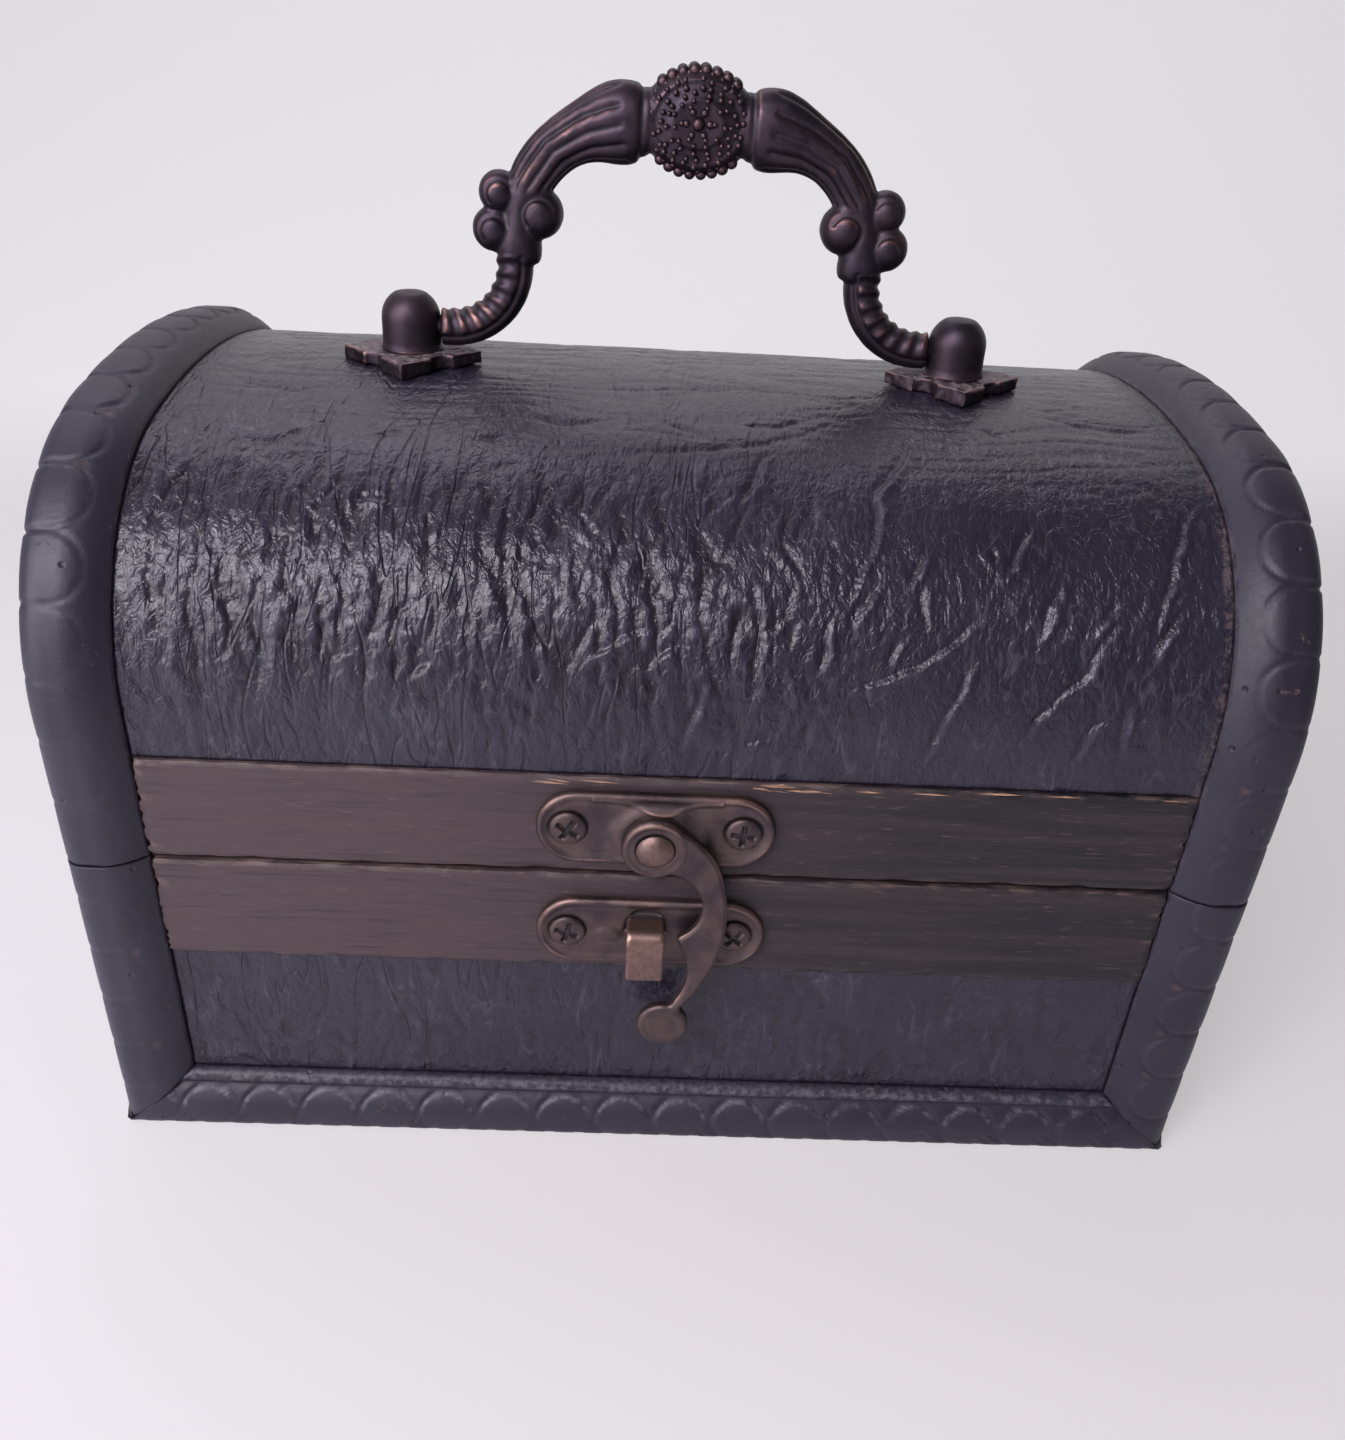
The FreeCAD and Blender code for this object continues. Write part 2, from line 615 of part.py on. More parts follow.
# Hinges
def hinge_leaf(x, up):
    """A hinge leaf on a back band: up is 1 on the lid (outer knuckles), -1 on the base (middle one)."""
    third = LEAF_WIDTH / 3
    left, right = x - LEAF_WIDTH / 2, x + LEAF_WIDTH / 2
    near, far = sorted((HINGE_Z + up * SEAM_GAP, HINGE_Z + up * LEAF_HEIGHT))
    plate = box(left, right, BAND_Y, LEAF_FACE, near, far)
    middle = (x - third / 2, x + third / 2)
    outer = ((left, middle[0] - KNUCKLE_GAP), (middle[1] + KNUCKLE_GAP, right))
    own = outer if up > 0 else (middle,)
    other = (middle,) if up > 0 else outer
    reach = KNUCKLE_RADIUS + KNUCKLE_GAP
    inside, outside = BAND_Y - OVERRUN, LEAF_FACE + OVERRUN
    for x0, x1 in other:
        low, high = x0 - KNUCKLE_GAP, x1 + KNUCKLE_GAP
        plate = plate.cut(box(low, high, inside, outside, HINGE_Z - reach, HINGE_Z + reach))
    knuckles = [rod_x(HINGE_Y, HINGE_Z, KNUCKLE_RADIUS, x0, x1) for x0, x1 in own]
    leaf = fused([plate] + knuckles)
    bore = rod_x(HINGE_Y, HINGE_Z, PIN_RADIUS + RUNNING, left - OVERRUN, right + OVERRUN)
    return drilled(leaf.cut(bore), leaf_holes(up))


def hinge_pin(x):
    return rod_x(HINGE_Y, HINGE_Z, PIN_RADIUS, x - LEAF_WIDTH / 2, x + LEAF_WIDTH / 2)


# Handle
def foot_plate():
    """A square plate set cornerwise on the crown, each side bitten by a shallow scallop."""
    half = FOOT_PLATE_SIDE / 2
    sink = LEATHER_TOP - FOOT_PLATE_SIDE / 2
    plate = box(-half, half, -half, half, sink, FOOT_TOP)
    bite = rod_z(half - FOOT_PLATE_BITE + FOOT_PLATE_BITE_RADIUS, 0, FOOT_PLATE_BITE_RADIUS, sink, FOOT_TOP)
    for side in range(4):
        plate = plate.cut(bite)
        bite.rotate(Vector(0, 0, 0), Vector(0, 0, 1), 90)
    plate.rotate(Vector(0, 0, 0), Vector(0, 0, 1), 45)
    plate.translate(Vector(POST_X, 0, 0))
    leather = arch_solid(FRAME_THICKNESS - LEATHER - GLUE, LID_BAND_TOP, -HALF_LENGTH, HALF_LENGTH)
    return drilled(plate.cut(leather), handle_holes())


def handle_post():
    """A round post with a domed top, bored for the handle's pin and for its screw."""
    straight = FOOT_TOP + POST_STRAIGHT
    dome = cap(POST_RADIUS, POST_RADIUS, Vector(POST_X, 0, straight), Vector(0, 0, 1))
    post = fused([rod_z(POST_X, 0, POST_RADIUS, FOOT_TOP, straight), dome])
    pin_end = BAIL_END_X + HANDLE_PLAY + HANDLE_PIN_DEPTH
    bore = rod_x(0, PIVOT_Z, HANDLE_PIN_RADIUS + RUNNING, BAIL_END_X - OVERRUN, pin_end + SIDE_PLAY)
    return drilled(post.cut(bore), handle_holes())


def handle_screws():
    """Two screws up through the dome into the posts, their heads inside the lid."""
    ceiling = CROWN - FRAME_THICKNESS - WALL - GLUE
    under = ceiling - HANDLE_SCREW_HEAD_HEIGHT
    hollow = arch_solid(FRAME_THICKNESS + WALL + GLUE, SEAM, -BOARD_X, BOARD_X)
    head = rod_z(POST_X, 0, HANDLE_SCREW_HEAD_RADIUS, under, ceiling).common(hollow)
    shank = rod_z(POST_X, 0, HANDLE_SCREW_RADIUS, under, FOOT_TOP + HANDLE_SCREW_DEPTH)
    right = fused([head, shank])
    return Part.makeCompound([right, mirror_x(right)])


def arm_section(x, z, along, width, depth):
    """An oval across the rising arm, its long axis in the handle's plane."""
    oval = Part.Wire(Part.Ellipse(Vector(0, 0, 0), width, depth).toShape())
    across = Vector(along.z, 0, -along.x)
    turn = FreeCAD.Matrix(
        across.x, 0, along.x, x,
        across.y, 1, along.y, 0,
        across.z, 0, along.z, z,
        0, 0, 0, 1)
    oval.Placement = FreeCAD.Placement(turn)
    return oval


def rising_arm():
    """The swelling arm on the right, lofted through ovals from the lower bend to the bell."""
    bend_top = Vector(BEND_X - HANDLE_BEND, 0, PIVOT_Z + HANDLE_BEND)
    centres = [bend_top]
    sizes = [(HANDLE_ROD_RADIUS, HANDLE_ROD_RADIUS)]
    for across, up, width, depth in ARM_SHARES:
        centres.append(Vector(across * POST_X, 0, PIVOT_Z + up * HANDLE_RISE))
        sizes.append((width * HANDLE_ROD_RADIUS, depth * HANDLE_ROD_RADIUS))
    sections = []
    for i, centre in enumerate(centres):
        before = centres[max(i - 1, 0)]
        after = centres[min(i + 1, len(centres) - 1)]
        along = Vector(0, 0, 1) if i == 0 else (after - before).normalize()
        sections.append(arm_section(centre.x, centre.z, along, *sizes[i]))
    return Part.makeLoft(sections, True)


def lower_bend():
    """The round rod from the post inwards, bent up a quarter turn, with its pin."""
    start = Vector(BEND_X, 0, PIVOT_Z)
    section = face_of([Part.Circle(start, Vector(1, 0, 0), HANDLE_ROD_RADIUS).toShape()])
    bend = section.revolve(Vector(BEND_X, 0, PIVOT_Z + HANDLE_BEND), Vector(0, 1, 0), 90)
    neck = rod_x(0, PIVOT_Z, HANDLE_ROD_RADIUS, BEND_X, BAIL_END_X)
    pin = rod_x(0, PIVOT_Z, HANDLE_PIN_RADIUS, BAIL_END_X, BAIL_END_X + HANDLE_PLAY + HANDLE_PIN_DEPTH)
    return [bend, neck, pin]


def medallion():
    """The oval boss in the middle of the handle, domed on both faces."""
    centre_z = PIVOT_Z + HANDLE_RISE
    ovals = []
    for depth, size in MEDALLION_SHARES:
        oval = Part.Ellipse(Vector(0, 0, 0), size * MEDALLION_WIDTH / 2, size * MEDALLION_HEIGHT / 2)
        wire = Part.Wire(oval.toShape())
        wire.rotate(Vector(0, 0, 0), Vector(1, 0, 0), 90)
        wire.translate(Vector(0, depth * MEDALLION_THICKNESS / 2, centre_z))
        ovals.append(wire)
    return Part.makeLoft(ovals, True)


def handle_bail():
    """The cast handle: a medallion between two scrolled arms that end in the posts."""
    side = lower_bend() + [rising_arm()]
    for across, up, size in CURL_SHARES:
        centre = Vector(across * POST_X, 0, PIVOT_Z + up * HANDLE_RISE)
        side.append(Part.makeSphere(size * HANDLE_ROD_RADIUS, centre))
    arm = fused(side)
    return fused([medallion(), arm, mirror_x(arm)])


def pieces():
    """Every piece of the box by name."""
    stile, trim, arch = corner_stile(), bottom_trim(HALF_LENGTH, HALF_DEPTH), arch_moulding()
    side_trim = end_trim()
    parts = {
        "base_floor": base_floor(),
        "base_front_wall": base_front_wall(),
        "base_back_wall": base_back_wall(),
        "base_right_end": base_end(),
        "base_left_end": mirror_x(base_end()),
        "base_front_leather": base_front_leather(),
        "base_back_leather": mirror_y(base_front_leather()),
        "base_right_leather": base_end_leather(),
        "base_left_leather": mirror_x(base_end_leather()),
        "base_front_band": base_band(latch_holes(KEEPER_PLATE_Z)),
        "base_back_band": mirror_y(base_band([mirror_y(hole) for hole in leaf_holes(-1)])),
        "base_front_right_stile": stile,
        "base_front_left_stile": mirror_x(stile),
        "base_back_right_stile": mirror_y(stile),
        "base_back_left_stile": mirror_x(mirror_y(stile)),
        "base_front_trim": trim,
        "base_back_trim": mirror_y(trim),
        "base_right_trim": side_trim,
        "base_left_trim": mirror_x(side_trim),
        "lid_front_rail": lid_rail(latch_holes(HOOK_PLATE_Z)),
        "lid_back_rail": mirror_y(lid_rail([mirror_y(hole) for hole in leaf_holes(1)])),
        "lid_dome": lid_dome(),
        "lid_right_end": lid_end(),
        "lid_left_end": mirror_x(lid_end()),
        "lid_leather": lid_leather(),
        "lid_right_leather": lid_end_leather(),
        "lid_left_leather": mirror_x(lid_end_leather()),
        "lid_front_band": lid_band(latch_holes(HOOK_PLATE_Z)),
        "lid_back_band": mirror_y(lid_band([mirror_y(hole) for hole in leaf_holes(1)])),
        "lid_right_arch": arch,
        "lid_left_arch": mirror_x(arch),
        "hook_plate": hook_plate(),
        "hook_plate_screws": latch_screws(HOOK_PLATE_Z),
        "hook_rivet": hook_rivet(),
        "latch_hook": latch_hook(),
        "keeper_plate": keeper_plate(),
        "keeper_plate_screws": latch_screws(KEEPER_PLATE_Z),
        "base_hinge_screws": leaf_screws(-1),
        "lid_hinge_screws": leaf_screws(1),
        "handle_right_foot": foot_plate(),
        "handle_left_foot": mirror_x(foot_plate()),
        "handle_right_post": handle_post(),
        "handle_left_post": mirror_x(handle_post()),
        "handle_screws": handle_screws(),
        "handle_bail": handle_bail(),
    }
    for side, x in zip(("left", "right"), HINGE_PLACES):
        parts[f"{side}_hinge_base_leaf"] = hinge_leaf(x, -1)
        parts[f"{side}_hinge_lid_leaf"] = hinge_leaf(x, 1)
        parts[f"{side}_hinge_pin"] = hinge_pin(x)
    return parts


os.makedirs("parts", exist_ok=True)
for name, shape in pieces().items():
    shape.exportStep(f"parts/{name}.step")
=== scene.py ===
import math

import bmesh
import bpy
import numpy as np
from mathutils import Matrix, Vector


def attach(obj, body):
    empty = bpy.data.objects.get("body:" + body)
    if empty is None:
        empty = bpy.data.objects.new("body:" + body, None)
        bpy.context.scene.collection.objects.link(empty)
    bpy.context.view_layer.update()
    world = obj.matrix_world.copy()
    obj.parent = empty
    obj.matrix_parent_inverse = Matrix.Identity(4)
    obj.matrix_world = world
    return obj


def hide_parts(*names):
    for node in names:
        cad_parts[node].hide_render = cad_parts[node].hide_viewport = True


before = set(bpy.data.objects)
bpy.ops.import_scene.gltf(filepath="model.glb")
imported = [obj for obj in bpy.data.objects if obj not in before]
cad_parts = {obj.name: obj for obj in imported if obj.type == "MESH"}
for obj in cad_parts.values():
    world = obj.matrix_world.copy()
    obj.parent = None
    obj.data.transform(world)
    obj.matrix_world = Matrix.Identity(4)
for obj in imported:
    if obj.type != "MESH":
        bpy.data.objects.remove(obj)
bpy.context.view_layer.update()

# A small domed chest in creased dark leatherette: embossed mouldings, stained wood bands,
# a bronze swing latch in front and a cast bronze handle on top. Lengths are millimetres.
MM = 0.001

# Sizes shared with the solids
HALF_LENGTH, HALF_DEPTH = 75.0, 49.25
SEAM, LID_LEG, DOME_RISE = 45.9, 20.2, 34.0
SPRING, CROWN = SEAM + LID_LEG, SEAM + LID_LEG + DOME_RISE
FRAME_WIDTH, FRAME_THICKNESS, FRAME_CORNER = 10.0, 3.9, 3.0
TRIM_HEIGHT, LEATHER, SEAM_GAP, GLUE = 8.9, 0.8, 0.15, 0.05
BAND_THICKNESS, BASE_BAND, LID_BAND, BAND_GAP = 1.6, 15.0, 14.0, 0.4
BOARD_X, BOARD_Y = HALF_LENGTH - FRAME_THICKNESS, HALF_DEPTH - FRAME_THICKNESS
PANEL_X, PANEL_Y = HALF_LENGTH - FRAME_WIDTH - GLUE, HALF_DEPTH - FRAME_WIDTH - GLUE
BAND_Y = BOARD_Y + BAND_THICKNESS
BASE_BAND_FOOT, LID_BAND_TOP = SEAM - BAND_GAP - BASE_BAND, SEAM + BAND_GAP + LID_BAND
SHOULDER = 0.95 * DOME_RISE
SHOULDER_Y = HALF_DEPTH - SHOULDER
CROWN_RADIUS = (SHOULDER_Y ** 2 + DOME_RISE ** 2 - SHOULDER ** 2) / (2 * (DOME_RISE - SHOULDER))
CROWN_Z = CROWN - CROWN_RADIUS
ARCH_TURN = math.atan2(SPRING - CROWN_Z, SHOULDER_Y)
LATCH_X, LATCH_FACE = -1.75, BAND_Y + 1.0
HOOK_PLATE_Z, KEEPER_PLATE_Z, RIVET_Z = SEAM + 7.6, SEAM - 8.7, SEAM + 6.5
PLATE_REACH, PLATE_RADIUS, SCREW_REACH = 29.6 / 2, 10.4 / 2, 21.6 / 2
KNOB_X, KNOB_Z = LATCH_X + 2.1, RIVET_Z - 28.9
POST_X, LEATHER_TOP = 37.25, CROWN - FRAME_THICKNESS + LEATHER
FOOT_TOP, PIVOT_Z, HANDLE_RISE = LEATHER_TOP + 1.8, LEATHER_TOP + 4.8, 26.7
MEDAL_X, MEDAL_Z, MEDAL_Y, MEDAL_RISE = 7.1, 6.05, 3.7, 31.5
HINGE_X, HINGE_Z, LEAF_FACE = 40.0, SEAM + 0.05, BAND_Y + 0.8
HINGE_SCREW_X, HINGE_SCREW_RISE = 5.0, (11.0 + 2.2) / 2

# The embossed coins: pitch along a moulding, straight part over the corner, round end on each face
COIN_PITCH, ARCH_COIN_PITCH, COIN_STRAIGHT, COIN_END = 8.3, 8.6, 3.0, 4.3
# Height of the coins' middle on the bottom mouldings, and a moulding's inner edge, out from the corner
COIN_MIDDLE, INNER_EDGE = 3.4, 10.4

# How shiny the coverings are, how far the leather may sink or stand, and how wide its flat rim is
COATED_GLOSS, BAND_GLOSS = 0.42, 0.35
DEEPEST, HIGHEST, RIM = -0.5, 0.6, 1.2
# Where on the dome its top begins, up from the band, and its right part, across
DOME_TOP, DOME_RIGHT = (34, 46), (4, 26)

# The box's sides by hand, and for each wall the axis it faces along and which way
SIDES, FACES = ((-1, "left"), (1, "right")), ((-1, "front"), (1, "back"))
WALLS = {"left": (0, -1), "right": (0, 1), "front": (1, -1), "back": (1, 1)}


def srgb(red, green, blue):
    """A colour in screen values, as the shader wants it."""
    def linear(value):
        value /= 255
        return value / 12.92 if value <= 0.04045 else ((value + 0.055) / 1.055) ** 2.4
    return linear(red), linear(green), linear(blue), 1.0


def reckoned(operation):
    """How a field and another, or a number, are put together."""
    return lambda field, other: field.maths(operation, other)


class Field:
    """A node's output that can be added, multiplied and eased."""
    __add__ = __radd__ = reckoned("ADD")
    __mul__ = __rmul__ = reckoned("MULTIPLY")
    __sub__, __truediv__, __pow__ = reckoned("SUBTRACT"), reckoned("DIVIDE"), reckoned("POWER")

    def __init__(self, web, socket):
        self.web, self.socket = web, socket

    def __rsub__(self, other):
        return self * -1.0 + other

    def maths(self, operation, *others):
        return self.web.add("ShaderNodeMath", dict(enumerate((self, *others))), operation=operation)

    def between(self, low, high):
        """0 below low, 1 above high, eased in between."""
        return self.web.add("ShaderNodeMapRange", {0: self, 1: low, 2: high, 3: 0.0, 4: 1.0},
                            interpolation_type="SMOOTHSTEP")


class Web:
    """A node tree, with one way to add any node."""
    def __init__(self, tree):
        self.tree = tree
        tree.nodes.clear()

    def add(self, kind, sockets=None, out=0, **settings):
        node = self.tree.nodes.new(kind)
        for key, value in settings.items():
            setattr(node, key, value)
        for key, value in (sockets or {}).items():
            if isinstance(value, Field):
                self.tree.links.new(value.socket, node.inputs[key])
            else:
                node.inputs[key].default_value = value
        return Field(self, node.outputs[out]) if node.outputs else node


class Finish(Web):
    """A material's nodes, on Object coordinates in millimetres."""
    def __init__(self, name):
        self.material = bpy.data.materials.new(name)
        self.material.use_nodes = True
        super().__init__(self.material.node_tree)
        place = self.add("ShaderNodeTexCoord", out="Object")
        self.place = self.add("ShaderNodeVectorMath", {0: place, "Scale": 1 / MM}, operation="SCALE")

    def axis(self, name):
        return self.add("ShaderNodeSeparateXYZ", {0: self.place}, name)

    def stretched(self, *scale):
        return self.add("ShaderNodeMapping", {"Vector": self.place, "Scale": scale})

    def noise(self, cell, detail=2.0, rough=0.5, warp=0.0, place=None):
        return self.add("ShaderNodeTexNoise", {
            "Vector": place or self.place, "Scale": 1.0 / cell, "Detail": detail,
            "Roughness": rough, "Distortion": warp})

    def cells(self, cell):
        return self.add("ShaderNodeTexVoronoi", {"Vector": self.place, "Scale": 1.0 / cell}, "Distance")

    def lines(self, cell, stretch, width, warp):
        """Thin wandering lines, 1 on a line and 0 away from it."""
        wave = self.noise(cell, 2.0, 0.5, warp, self.stretched(*stretch))
        return 1.0 - (wave - 0.5).maths("ABSOLUTE").between(0.0, width)

    def mark(self, name):
        return self.add("ShaderNodeAttribute", None, "Fac", attribute_name=name)

    def mix(self, share, first, second):
        return self.add("ShaderNodeMix", {0: share, 6: first, 7: second}, 2, data_type="RGBA")

    def coats(self, colour, *coats):
        """Lays tones over a colour, each by its share."""
        for share, tone in coats:
            colour = self.mix(share, colour, srgb(*tone))
        return colour

    def bump(self, height, depth, strength, under=None):
        sockets = {"Strength": strength, "Distance": depth * MM, "Height": height}
        if under:
            sockets["Normal"] = under
        return self.add("ShaderNodeBump", sockets)

    def done(self, colour, rough, normal, metal=0.0, gloss=0.5):
        shader = self.add("ShaderNodeBsdfPrincipled", {
            "Base Color": colour, "Roughness": rough, "Metallic": metal, "Normal": normal,
            "Specular IOR Level": gloss})
        self.add("ShaderNodeOutputMaterial", {"Surface": shader})
        return self.material


def leatherette():
    """Blue-black coated cloth: pebble grain, folds rubbed and given a painted highlight on their crests, pale
    lines, painted shade along its creases and grooves, a brown torn fringe.
    """
    f = Finish("leatherette")
    cloud = f.noise(26.0, 3.0, 0.55)
    fine = f.noise(0.8, 3.0, 0.6, 0.5)
    fringe = f.mark("fringe") * f.noise(1.2, 4.0, 0.7, 1.0).between(0.42, 0.6)
    scuff = f.noise(2.2, 5.0, 0.75, 1.4, f.stretched(1.6, 0.6, 0.6)).between(0.60, 0.74)
    patch = f.noise(12.0, 3.0, 0.6).between(0.36, 0.58)
    left = 1.0 - f.axis("X").between(-8.0, 24.0)
    crease = f.lines(4.6, (1.0, 0.20, 0.20), 0.032, 0.6) * patch * (0.2 + 0.8 * left)
    wrinkle = f.lines(1.9, (0.9, 0.6, 0.6), 0.07, 1.0) * (1.0 - 0.7 * patch)
    pale = f.lines(3.4, (1.0, 0.3, 0.3), 0.03, 0.9) * f.noise(9.0, 2.0, 0.5).between(0.42, 0.60)
    # Raised crests lighter: partly rubbed coating, partly a painted highlight on the crests
    rubbed = f.mark("ridge").between(0.3, 1.0) * fine.between(0.3, 0.65)
    colour = f.coats(
        f.mix(cloud.between(0.3, 0.7), srgb(27, 24, 35), srgb(35, 31, 44)),
        (scuff * 0.2, (92, 86, 98)),
        (pale * 0.2, (98, 92, 102)),
        (rubbed * 0.3, (98, 92, 108)),
        # painted shade: the crease and wrinkle lines are darkened in the colour
        (crease * 0.25 + wrinkle * 0.05, (19, 17, 24)),
        # painted shade: the groove mark darkens sunk creases and one side of each raised fold
        (f.mark("groove").between(0.35, 0.95) * 0.6, (20, 18, 25)),
        (fringe * 0.6, (88, 74, 72)))
    rough = 0.29 + 0.10 * cloud + 0.12 * scuff + 0.3 * fringe
    crumple = f.noise(1.25, 3.0, 0.5, 0.8, f.stretched(1.2, 0.75, 0.75))
    normal = f.bump(crumple, 0.34, 0.75)
    normal = f.bump(1.0 - 0.6 * crease - 0.22 * wrinkle, 0.26, 0.8, normal)
    normal = f.bump(f.cells(0.42), 0.04, 0.5, normal)
    return f.done(colour, rough, normal, gloss=COATED_GLOSS)


def moulding_stain():
    """Embossed edging under a slate stain, rubbed on its high places, chipped and knocked, with a painted
    highlight on its coins' rims.
    """
    f = Finish("moulding_stain")
    cloud = f.noise(17.0, 3.0, 0.6)
    fine = f.noise(0.9, 4.0, 0.65)
    rub = (f.mark("wear") + 0.55 * fine - 0.3).between(0.35, 0.85)
    chip = f.noise(3.4, 4.0, 0.75, 1.2).between(0.655, 0.685)
    dust = f.mark("dust") * f.noise(0.8, 4.0, 0.7).between(0.42, 0.62)
    # painted highlight: a pale line round the coins' rims, on their upper side on the bottom mouldings
    painted_rim_highlight = f.mark("coin_rim") * f.noise(1.6, 4.0, 0.7, 0.6).between(0.40, 0.62)
    colour = f.coats(
        f.mix(cloud.between(0.3, 0.7), srgb(26, 23, 35), srgb(34, 30, 44)),
        (rub * 0.3, (88, 82, 88)),
        (chip * 0.6, (86, 66, 62)),
        (dust * 0.6, (104, 99, 106)),
        (f.mark("knocked") * 0.5, (84, 66, 62)),
        (painted_rim_highlight * 0.55, (110, 105, 114)))
    rough = 0.40 + 0.2 * fine + 0.16 * chip + 0.1 * dust
    normal = f.bump(fine, 0.09, 0.6)
    normal = f.bump(f.cells(5.2).between(0.0, 0.09), 0.35, 0.7, normal)
    normal = f.bump(1.0 - chip, 0.12, 0.6, normal)
    return f.done(colour, rough, normal, gloss=COATED_GLOSS)


def band_stain():
    """Brown stained wood with its grain along the band, painted shade darkening it to the right, worn at the
    edges.
    """
    f = Finish("band_stain")
    along = f.stretched(0.05, 0.7, 1.0)
    streak = f.noise(0.55, 5.0, 0.65, 0.4, along)
    wide = f.noise(2.6, 3.0, 0.6, 0.8, along)
    fleck = f.noise(0.8, 3.0, 0.6, 0.3, f.stretched(0.22, 0.8, 2.2)).between(0.60, 0.68)
    cloud = f.noise(34.0, 2.0, 0.5)
    raw = f.mark("edge") * f.noise(1.3, 4.0, 0.7, 0.5, f.stretched(0.3, 1.0, 1.0)).between(0.46, 0.62)
    # painted shade: the colour darkens from left to right, as the lamps light the box from the left
    dark = (f.axis("X") + 30.0 * (cloud - 0.5)).between(-38.0, 34.0)
    colour = f.coats(
        f.mix(dark, srgb(62, 49, 51), srgb(23, 21, 26)),
        (wide.between(0.35, 0.7) * 0.35, (68, 55, 54)),
        (streak.between(0.50, 0.70) * 0.65, (34, 29, 32)),
        (fleck * 0.28, (104, 88, 82)),
        (raw * 0.6, (112, 94, 86)))
    rough = 0.46 + 0.18 * wide + 0.12 * fleck
    normal = f.bump(wide, 0.12, 0.4, f.bump(streak, 0.12, 0.6))
    return f.done(colour, rough, normal, gloss=BAND_GLOSS)


def raw_splinter():
    """Torn wood under the stain."""
    f = Finish("raw_splinter")
    streak = f.noise(0.35, 4.0, 0.6, 0.2, f.stretched(0.12, 1.0, 1.0))
    colour = f.mix(streak.between(0.35, 0.65), srgb(96, 70, 58), srgb(168, 130, 102))
    return f.done(colour, 0.62 + 0.2 * streak, f.bump(streak, 0.1, 0.6))


def board_wood():
    """Plain brown boards inside the box."""
    f = Finish("board_wood")
    along = f.stretched(0.045, 0.6, 0.6)
    streak = f.noise(1.6, 4.0, 0.6, 0.7, along)
    pore = f.noise(0.5, 3.0, 0.6, 0.2, along).between(0.56, 0.7)
    colour = f.mix(streak.between(0.3, 0.7), srgb(92, 68, 54), srgb(128, 97, 76))
    colour = f.coats(colour, (pore * 0.6, (64, 46, 38)))
    return f.done(colour, 0.52 + 0.16 * streak, f.bump(streak - 0.6 * pore, 0.1, 0.5))


def bronze(name, low, high, rubbed, dusty=False):
    """Dark antiqued bronze, copper where hands and tools have rubbed it and as a painted highlight on top
    edges, with dust on what lies flat.
    """
    f = Finish(name)
    cloud = f.noise(5.0, 3.0, 0.6)
    fine = f.noise(0.45, 4.0, 0.7)
    hollow = f.mark("hollow")
    rub = (f.mark("wear") + 0.5 * (fine - 0.5)).between(0.22, 0.95)
    colour = f.coats(
        f.mix(cloud.between(0.32, 0.68), srgb(*low), srgb(*high)),
        # copper on the wear mark: rubbing, and on the castings' top edges a painted highlight
        (rub * 0.6, rubbed),
        # dark in hollows: patina, and painted shade where cast's shade function marks the hollow (the keeper
        # window)
        (hollow.between(0.2, 0.9) * 0.8, (34, 30, 35)))
    metal = 0.92 - 0.5 * hollow
    rough = 0.34 + 0.18 * cloud + 0.1 * fine - 0.08 * rub
    if dusty:
        dust = f.mark("dust") * f.noise(0.9, 4.0, 0.7, 0.4).between(0.34, 0.6)
        colour = f.coats(colour, (dust * 0.9, (118, 106, 108)))
        metal = metal - 0.75 * dust
        rough = rough + 0.3 * dust
    return f.done(colour, rough, f.bump(fine, 0.05, 0.5), metal=metal)


# Seeded noise and eased steps for shapes
def lattice_noise(points, cell, seed):
    """Smooth noise from -1 to 1 at (n, 3) points, one wave to about two cells."""
    p = np.asarray(points, float) / cell
    low = np.floor(p).astype(np.int64)
    part = p - low
    ease = part * part * part * (part * (part * 6 - 15) + 10)
    total = np.zeros(len(p))
    for corner in range(8):
        step = np.array([corner & 1, corner >> 1 & 1, corner >> 2 & 1])
        spot = low + step
        mixed = spot[:, 0] * 73856093 ^ spot[:, 1] * 19349663 ^ spot[:, 2] * 83492791 ^ seed * 2654435761
        mixed = (mixed ^ mixed >> 13) * 1274126177 & 0xFFFFFFFF
        mixed = (mixed ^ mixed >> 16) & 0xFFFFFFFF
        tilt = mixed / 0xFFFFFFFF * 2 * np.pi
        rise = (mixed * 2654435761 & 0xFFFFFFFF) / 0xFFFFFFFF * 2 - 1
        flat = np.sqrt(1 - rise * rise)
        away = part - step
        slope = np.cos(tilt) * flat * away[:, 0] + np.sin(tilt) * flat * away[:, 1] + rise * away[:, 2]
        total += slope * np.prod(np.where(step, ease, 1 - ease), axis=1)
    return total * 1.6


def grid_noise(cell, seed, *axes):
    """Noise at the points that three arrays or plain values give."""
    axes = np.broadcast_arrays(*axes)
    spot = np.stack([axis.ravel() for axis in axes], 1)
    return lattice_noise(spot, cell, seed).reshape(axes[0].shape)


def smooth_step(value, low, high):
    """0 below low, 1 above high, eased in between."""
    t = np.clip((value - low) / (high - low), 0, 1)
    return t * t * (3 - 2 * t)


def hump(value, middle, width):
    """1 at the middle, falling away to either side."""
    return np.exp(-((value - middle) / width) ** 2)


# Meshes
def in_scene(name, data):
    """A new object in the scene."""
    thing = bpy.data.objects.new(name, data)
    bpy.context.scene.collection.objects.link(thing)
    return thing


def put_marks(mesh, marks):
    """Named values at a mesh's points, for the finishes and the node trees."""
    for key, values in marks.items():
        mark = mesh.attributes.new(key, "FLOAT", "POINT")
        mark.data.foreach_set("value", np.ascontiguousarray(values, np.float32))


